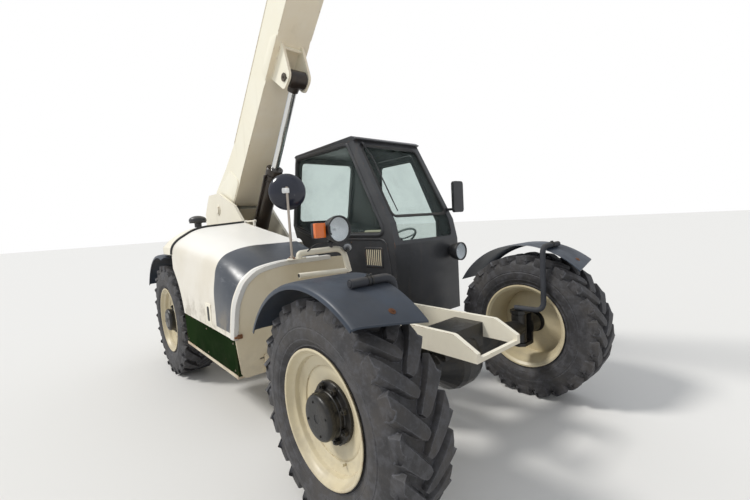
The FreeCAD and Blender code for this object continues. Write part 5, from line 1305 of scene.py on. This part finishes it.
def seat():
    x = REAR + 1090
    floor_top = 660
    y = SEAT_Y
    mesh = bmesh.new()
    box(mesh, (x - 190, y - 210, floor_top), (x + 200, y + 210, floor_top + 60), 6)
    for i in range(6):
        fold = floor_top + 62 + 30 * i
        box(mesh, (x - 180, y - 190 + 2 * i, fold), (x + 190, y + 190 - 2 * i, fold + 26), 12)
    box(mesh, (x - 205, y - 225, floor_top + 238), (x + 240, y + 225, floor_top + 262), 8)
    piece("seat_base", mesh, SEAL, slot="cabin_plastic")
    mesh = bmesh.new()
    cushion(mesh, (x - 190, y - 228, floor_top + 258), (x + 248, y + 228, floor_top + 338), 12, (0.3, 0.5, 0.7))
    slope = -0.22

    def lean(p):
        return mm(x - 175 + p.z + slope * (p.x - floor_top - 330), p.y, p.x)

    cushion(mesh, (floor_top + 330, y - 222, -62), (floor_top + 845, y + 222, 22), 10, (0.28, 0.5, 0.72), lean)
    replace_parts(piece("seat_pads", mesh, SEAT_CLOTH, angle=50), "seat")


def dash():
    mesh = bmesh.new()
    for dy in (-130, 0, 130):
        lathe(mesh, [(0, 0), (34, 0), (38, 3), (38, 10), (34, 12), (32, 9), (0, 9)], mm(-930, SEAT_Y + dy, 1276),
              (-0.3, 0, 0.95), 32)
    for i in range(6):
        box(mesh, (-1070, 430 + 26 * i, 1188), (-1050, 446 + 26 * i, 1206), 2)
    hose(mesh, [mm(-1080, 610, 1262), mm(-1090, 540, 1300), mm(-1090, 480, 1320)], 8, 30, 10)
    disc(mesh, 13, 0, 30, mm(-1090, 480, 1310), (0, -1, 0.3), 16)
    hose(mesh, [mm(-1500, 380, 900), mm(-1480, 380, 1150), mm(-1500, 390, 1230)], 9, 60, 12)
    lathe(mesh, [(0, -4), (14, 0), (24, 20), (26, 50), (18, 76), (0, 84)], mm(-1500, 390, 1230), (0, 0, 1), 28)
    box(mesh, (-1620, 320, 660), (-1380, 440, 905), 16)
    piece("dash_fittings", mesh, BLACK, slot="cabin_plastic")


cab_trim()
steering_wheel()
seat()
dash()

# Boom in its own frame: s along it, t above its pivot line, mm

BOOM_ANGLE = math.radians(46.07)
BOOM_Y = -100
BOOM_HALF = 165
PIVOT = (REAR - 510, 1766)
LIFT_FOOT = (REAR - 181, 1009)
# Pins on the boom: s, t
LIFT_EYE = (1977, -459)
TILT_PIN = (4100, -240)
FORK_PIN = (4350, -1050)


def boom(s, y, t):
    return mm(PIVOT[0] + s * math.cos(BOOM_ANGLE) - t * math.sin(BOOM_ANGLE), y,
              PIVOT[1] + s * math.sin(BOOM_ANGLE) + t * math.cos(BOOM_ANGLE))


def at_pin(pin, y=BOOM_Y):
    return boom(pin[0], y, pin[1])


def boom_end(a, b, up):
    """Outline across the boom; up is along it."""
    return boom(up, a, b)


def boom_side(a, b, up):
    return boom(a, up, b)


def boom_parts():
    # Collar round the outer boom's mouth, and doubler plates on its sides
    mesh = bmesh.new()
    path = anticlockwise(plate((BOOM_Y - BOOM_HALF, -240), (BOOM_Y + BOOM_HALF, 112), 6, 3))
    moulding(mesh, path, [(0, 2876), (9, 2876), (12, 2880), (12, 2996), (9, 3000), (0, 3000)], boom_end)
    for side in (-1, 1):
        y = BOOM_Y + side * BOOM_HALF
        ends = sorted((y - side, y + side * 7))
        slab(mesh, rounded([(-110, -90, 60), (330, -225, 80), (620, -225, 60), (560, 60, 80), (40, 262, 60),
                            (-130, 100, 60)], 6), boom_side, ends[0], ends[1], 2)
        slab(mesh, rounded([(1800, -238, 30), (2260, -238, 30), (2180, -120, 60), (1880, -120, 60)], 6), boom_side,
             ends[0], ends[1], 2)
    piece("boom_doublers", mesh, TAN, "boom")
    # Weld beads
    mesh = bmesh.new()
    for side in (-1, 1):
        y = BOOM_Y + side * 166
        weld(mesh, [boom(640, y, -239), boom(1780, y, -239)], 8)
        weld(mesh, [boom(2280, y, -239), boom(2870, y, -239)], 8)
        weld(mesh, [boom(900, y, 111), boom(2870, y, 111)], 8)
    for y in (-214, -10):
        weld(mesh, [boom(1850, y - 2, -240), boom(2200, y - 2, -240)], 9)
        weld(mesh, [boom(1850, y + 26, -240), boom(2200, y + 26, -240)], 9)
    piece("boom_welds", mesh, TAN, "boom")
    # Web between the clevis plates, and their pin
    mesh = bmesh.new()
    box(mesh, (2157, -190, -285), (2173, -10, -238), 2, boom)
    piece("clevis_plates", mesh, TAN, "boom")
    mesh = bmesh.new()
    for side, face in ((-1, -214), (1, 14)):
        spot = at_pin(LIFT_EYE, face)
        disc(mesh, 38, 0, 14, spot, (0, side, 0), 32, 3)
        bolt(mesh, spot + Vector((0, side * 0.014, 0)), (0, side, 0), 13, 8)
        keeper = spot + Vector((0.045, side * 0.002, -0.02))
        bolt(mesh, keeper, (0, side, 0), 8, 6)
    piece("clevis_pin", mesh, IRON, "boom")
    # Bolts of the slide pads at the mouth
    mesh = bmesh.new()
    for s in (2905, 2965):
        for t in (-180, -120, 0, 60):
            for side in (-1, 1):
                bolt(mesh, boom(s, BOOM_Y + side * 177, t), (0, side, 0), 11, 7)
        for y in (-170, -100, -30):
            bolt(mesh, boom(s, y, 124), (-math.sin(BOOM_ANGLE), 0, math.cos(BOOM_ANGLE)), 11, 7)
            bolt(mesh, boom(s, y, -252), (math.sin(BOOM_ANGLE), 0, -math.cos(BOOM_ANGLE)), 11, 7)
    piece("pad_bolts", mesh, BOLT, "boom")
    # Service pipes on the left side of the outer boom
    mesh = bmesh.new()
    for t in (-30, 0, 30):
        hose(mesh, [boom(700, BOOM_Y + 178, t), boom(2840, BOOM_Y + 178, t)], 9, 5, 12)
    for s in range(760, 2800, 340):
        box(mesh, (s, BOOM_Y + BOOM_HALF, -44), (s + 30, BOOM_Y + 190, 44), 3, boom)
    piece("boom_pipes", mesh, PIPE, "boom")
    # Head fittings ride on the inner boom
    mesh = bmesh.new()
    for side in (-1, 1):
        face = BOOM_Y + side * 97
        for spot, r in ((TILT_PIN, 34), (FORK_PIN, 44)):
            disc(mesh, r, 0, 7, at_pin(spot, face), (0, side, 0), 32, 2)
        bolt(mesh, at_pin(TILT_PIN, face + side * 7), (0, side, 0), 12, 8)
        weld(mesh, [boom(3640, face - side * 2, 90), boom(3990, face - side * 2, 90)], 8)
    piece("head_fittings", mesh, BOLT, "boom_extension")


def rams():
    """Smooth barrels with their glands and pipe, and the rod eyes."""
    pin = mm(LIFT_FOOT[0], BOOM_Y, LIFT_FOOT[1])
    eye = at_pin(LIFT_EYE)
    along = (eye - pin).normalized()
    up = Vector((-along.z, 0, along.x))
    mesh = bmesh.new()
    lathe(mesh, [(0, 30), (70, 44), (78, 52), (78, 1325), (80, 1330), (86, 1334), (86, 1391), (83, 1395), (41, 1395),
                 (41, 1335), (60, 1330), (60, 90), (0, 90)], pin, along, 56)
    lathe(mesh, [(0, -80), (77, -80), (80, -77), (80, 77), (77, 80), (0, 80)], pin, (0, 1, 0), 48)
    for s in (1310, 1250):
        lathe(mesh, [(78, s), (82, s + 1), (82, s + 11), (78, s + 12)], pin, along, 56)

    def ram(s, side, lift):
        return pin + along * (s / 1000) + Vector((0, side / 1000, 0)) + up * (lift / 1000)

    hose(mesh, [ram(110, -70, 0), ram(122, -92, 0), ram(1300, -92, 0), ram(1322, -76, 0)], 12, 30, 14)
    for s in (140, 600, 1275):
        box(mesh, (s, -104, -14), (s + 30, -72, 14), 3, ram)
    for angle in range(0, 360, 45):
        turn = math.radians(angle)
        round_way = Vector((0, math.cos(turn), 0)) + up * math.sin(turn)
        bolt(mesh, pin + along * 1.394 + round_way * 0.063, along, 8, 6)
    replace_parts(piece("lift_ram", mesh, RAM_BLACK, "lift_cylinder"), "lift_barrel")
    mesh = bmesh.new()
    lathe(mesh, [(0, -81), (79, -81), (82, -78), (82, 78), (79, 81), (0, 81)], eye, (0, 1, 0), 48)
    lathe(mesh, [(41, -118), (50, -112), (54, -80), (54, -60), (41, -60)], eye, along, 40)
    piece("lift_rod_eye", mesh, RAM_BLACK, "lift_piston")
    # Hoses from the tower to the ram's foot
    mesh = bmesh.new()
    for y in (-190, -150):
        hose(mesh, [mm(REAR - 420, y - 20, 1240), mm(REAR - 330, y - 20, 1130), mm(REAR - 300, y - 10, 1010),
                    mm(REAR - 262, y, 960)], 13, 90, 14)
    piece("ram_hoses", mesh, SEAL)
    base = at_pin(TILT_PIN)
    arm = math.radians(250)
    fork = at_pin(FORK_PIN)
    tilt_eye = fork + Vector((math.cos(arm), 0, math.sin(arm))) * 0.17
    along = (tilt_eye - base).normalized()
    mesh = bmesh.new()
    lathe(mesh, [(0, 26), (40, 34), (45, 42), (45, 498), (53, 502), (53, 557), (50, 560), (23, 560), (23, 500),
                 (36, 498), (36, 80), (0, 80)], base, along, 40)
    lathe(mesh, [(23, -40), (47, -40), (50, -37), (50, 37), (47, 40), (23, 40)], base, (0, 1, 0), 40)
    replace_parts(piece("tilt_ram", mesh, RAM_BLACK, "tilt_cylinder"), "tilt_barrel")
    mesh = bmesh.new()
    lathe(mesh, [(0, -31), (37, -31), (39.5, -28), (39.5, 28), (37, 31), (0, 31)], tilt_eye, (0, 1, 0), 36)
    piece("tilt_rod_eye", mesh, RAM_BLACK, "tilt_piston")


def tower_parts():
    mesh = bmesh.new()
    for side, face in ((-1, -325), (1, 125)):
        for (x, z), r in ((PIVOT, 66), (LIFT_FOOT, 64)):
            spot = mm(x, face, z)
            disc(mesh, r, -1, 9, spot, (0, side, 0), 40, 3)
            for k in range(4):
                turn = math.pi / 4 + k * math.pi / 2
                reach = 0.72 * r / 1000
                bolt(mesh, spot + Vector((reach * math.cos(turn), side * 0.009, reach * math.sin(turn))),
                     (0, side, 0), 9, 6)
    piece("pivot_caps", mesh, CREAM)
    mesh = bmesh.new()
    for face in (-326, 126):
        weld(mesh, [mm(REAR + 530, face, 852), mm(REAR - 700, face, 852)], 9)
    piece("tower_welds", mesh, CREAM)
    # Slot in the tower's upper front corner, a raised black ring, drawn as a filled plate whose black inside is
    # painted shade for the slot's opening
    mesh = bmesh.new()
    slab(mesh, plate((PIVOT[0] - 15, 1736), (PIVOT[0] + 15, 1798), 14, 6), upright, -335.5, -330, 0.5)
    piece("tower_slot", mesh, SEAL)


# Metres from the fork pin: its caps outward, the locks upward
CAP_OUT = 0.157
LOCK_RISE = 0.26


def carriage_parts():
    fork_pin = at_pin(FORK_PIN)
    mesh = bmesh.new()
    front = fork_pin.x + 0.130
    for side in (-1, 1):
        spot = fork_pin + Vector((0, side * CAP_OUT, 0))
        disc(mesh, 40, -12, 6, spot, (0, side, 0), 32, 3)
        bolt(mesh, spot + Vector((0, side * 0.006, 0)), (0, side, 0), 13, 8)
    piece("fork_pin_caps", mesh, BOLT, "fork_carriage")
    mesh = bmesh.new()
    for offset in (-300, 300):
        y = (BOOM_Y + offset) / 1000
        hook = Vector((front + 0.02, y, fork_pin.z + LOCK_RISE))
        lathe(mesh, [(0, 0), (12, 0), (12, 26), (18, 30), (18, 40), (0, 42)], hook, (0, 0, 1), 20)
    piece("fork_locks", mesh, BOLT, "fork_carriage")


def tail():
    mesh = bmesh.new()
    x = REAR - 1000
    for y in (-700, 560):
        box(mesh, (x - 4, y + 6, 1216), (x + 4, y + 134, 1294), 3)
    piece("tail_lenses", mesh, RED)
    mesh = bmesh.new()
    for y in (-690, 650):
        box(mesh, (x - 5, y + 4, 1222), (x - 2, y + 36, 1288), 1)
    piece("tail_indicators", mesh, AMBER)
    mesh = bmesh.new()
    for x0 in range(-1490, -1190, 30):
        box(mesh, (x0, 1024, 434), (x0 + 10, 1076, 441), 1.5)
    piece("step_grip", mesh, IRON)
    mesh = bmesh.new()
    for y in (-480, 480):
        for x in (-960, -810):
            bolt(mesh, mm(REAR + x, y, 1209), (0, 0, 1), 24, 16)
    piece("weight_bolts", mesh, BOLT)
    mesh = bmesh.new()
    lathe(mesh, [(0, 0), (44, 0), (44, 18), (36, 24), (30, 34), (0, 36)], mm(-1300, 1010, 500), (0, 1, 0.25), 32)
    piece("fuel_cap", mesh, BLACK)


boom_parts()
rams()
tower_parts()
carriage_parts()
tail()

# Stage, light and camera

WORLD_LIGHT = 0.75
SUN_LIGHT = 2.2
SUN_FROM = Vector((-0.55, -0.75, 1.05))


def floor():
    mesh = bmesh.new()
    bmesh.ops.create_grid(mesh, x_segments=1, y_segments=1, size=60)
    data = bpy.data.meshes.new("floor")
    mesh.to_mesh(data)
    mesh.free()
    obj = bpy.data.objects.new("floor", data)
    bpy.context.scene.collection.objects.link(obj)
    g = Graph("floor")
    dress(obj, g.shade((0.70, 0.69, 0.67), 0.9))


def world():
    """Soft white studio light with a white background for the camera and through glass."""
    sky = bpy.data.worlds.new("studio")
    bpy.context.scene.world = sky
    sky.use_nodes = True
    tree = sky.node_tree
    tree.nodes.clear()
    rays = tree.nodes.new("ShaderNodeLightPath")
    seen = tree.nodes.new("ShaderNodeMath")
    seen.operation = "MAXIMUM"
    tree.links.new(rays.outputs["Is Camera Ray"], seen.inputs[0])
    tree.links.new(rays.outputs["Is Transmission Ray"], seen.inputs[1])
    soft = tree.nodes.new("ShaderNodeBackground")
    soft.inputs[0].default_value = (0.93, 0.96, 1.0, 1)
    soft.inputs[1].default_value = WORLD_LIGHT
    white = tree.nodes.new("ShaderNodeBackground")
    white.inputs[0].default_value = (1, 1, 1, 1)
    both = tree.nodes.new("ShaderNodeMixShader")
    tree.links.new(seen.outputs[0], both.inputs[0])
    tree.links.new(soft.outputs[0], both.inputs[1])
    tree.links.new(white.outputs[0], both.inputs[2])
    out = tree.nodes.new("ShaderNodeOutputWorld")
    tree.links.new(both.outputs[0], out.inputs[0])


def sun():
    lamp = bpy.data.lights.new("key", "SUN")
    lamp.energy = SUN_LIGHT
    lamp.angle = math.radians(12)
    lamp.color = (1.0, 0.98, 0.94)
    obj = bpy.data.objects.new("key", lamp)
    bpy.context.scene.collection.objects.link(obj)
    obj.rotation_mode = "QUATERNION"
    obj.rotation_quaternion = SUN_FROM.to_track_quat("Z", "Y")


# The camera stands low at the machine's front right corner
CAMERA_FROM_AXLE = Vector((1.5027, -1.9939, 0))
CAMERA_HEIGHT = 1.4845
CAMERA_YAW = math.radians(139.19)
CAMERA_PITCH = math.radians(-4.63)
CAMERA_ROLL = math.radians(-3.37)
FOCAL = 18.21


def camera():
    data = bpy.data.cameras.new("camera")
    data.lens = FOCAL
    data.sensor_width = 36
    data.clip_start = 0.05
    data.clip_end = 200
    obj = bpy.data.objects.new("camera", data)
    bpy.context.scene.collection.objects.link(obj)
    ahead = Vector((math.cos(CAMERA_PITCH) * math.cos(CAMERA_YAW),
                    math.cos(CAMERA_PITCH) * math.sin(CAMERA_YAW), math.sin(CAMERA_PITCH)))
    right = ahead.cross(Vector((0, 0, 1))).normalized()
    up = right.cross(ahead)
    rolled_right = right * math.cos(CAMERA_ROLL) + up * math.sin(CAMERA_ROLL)
    rolled_up = up * math.cos(CAMERA_ROLL) - right * math.sin(CAMERA_ROLL)
    turn = Matrix((rolled_right, rolled_up, -ahead)).transposed().to_4x4()
    spot = Vector((AXLE_X, 0, CAMERA_HEIGHT)) + CAMERA_FROM_AXLE
    obj.matrix_world = Matrix.Translation(spot) @ turn
    bpy.context.scene.camera = obj


floor()
world()
sun()
camera()
bpy.context.scene.view_settings.view_transform = "Standard"
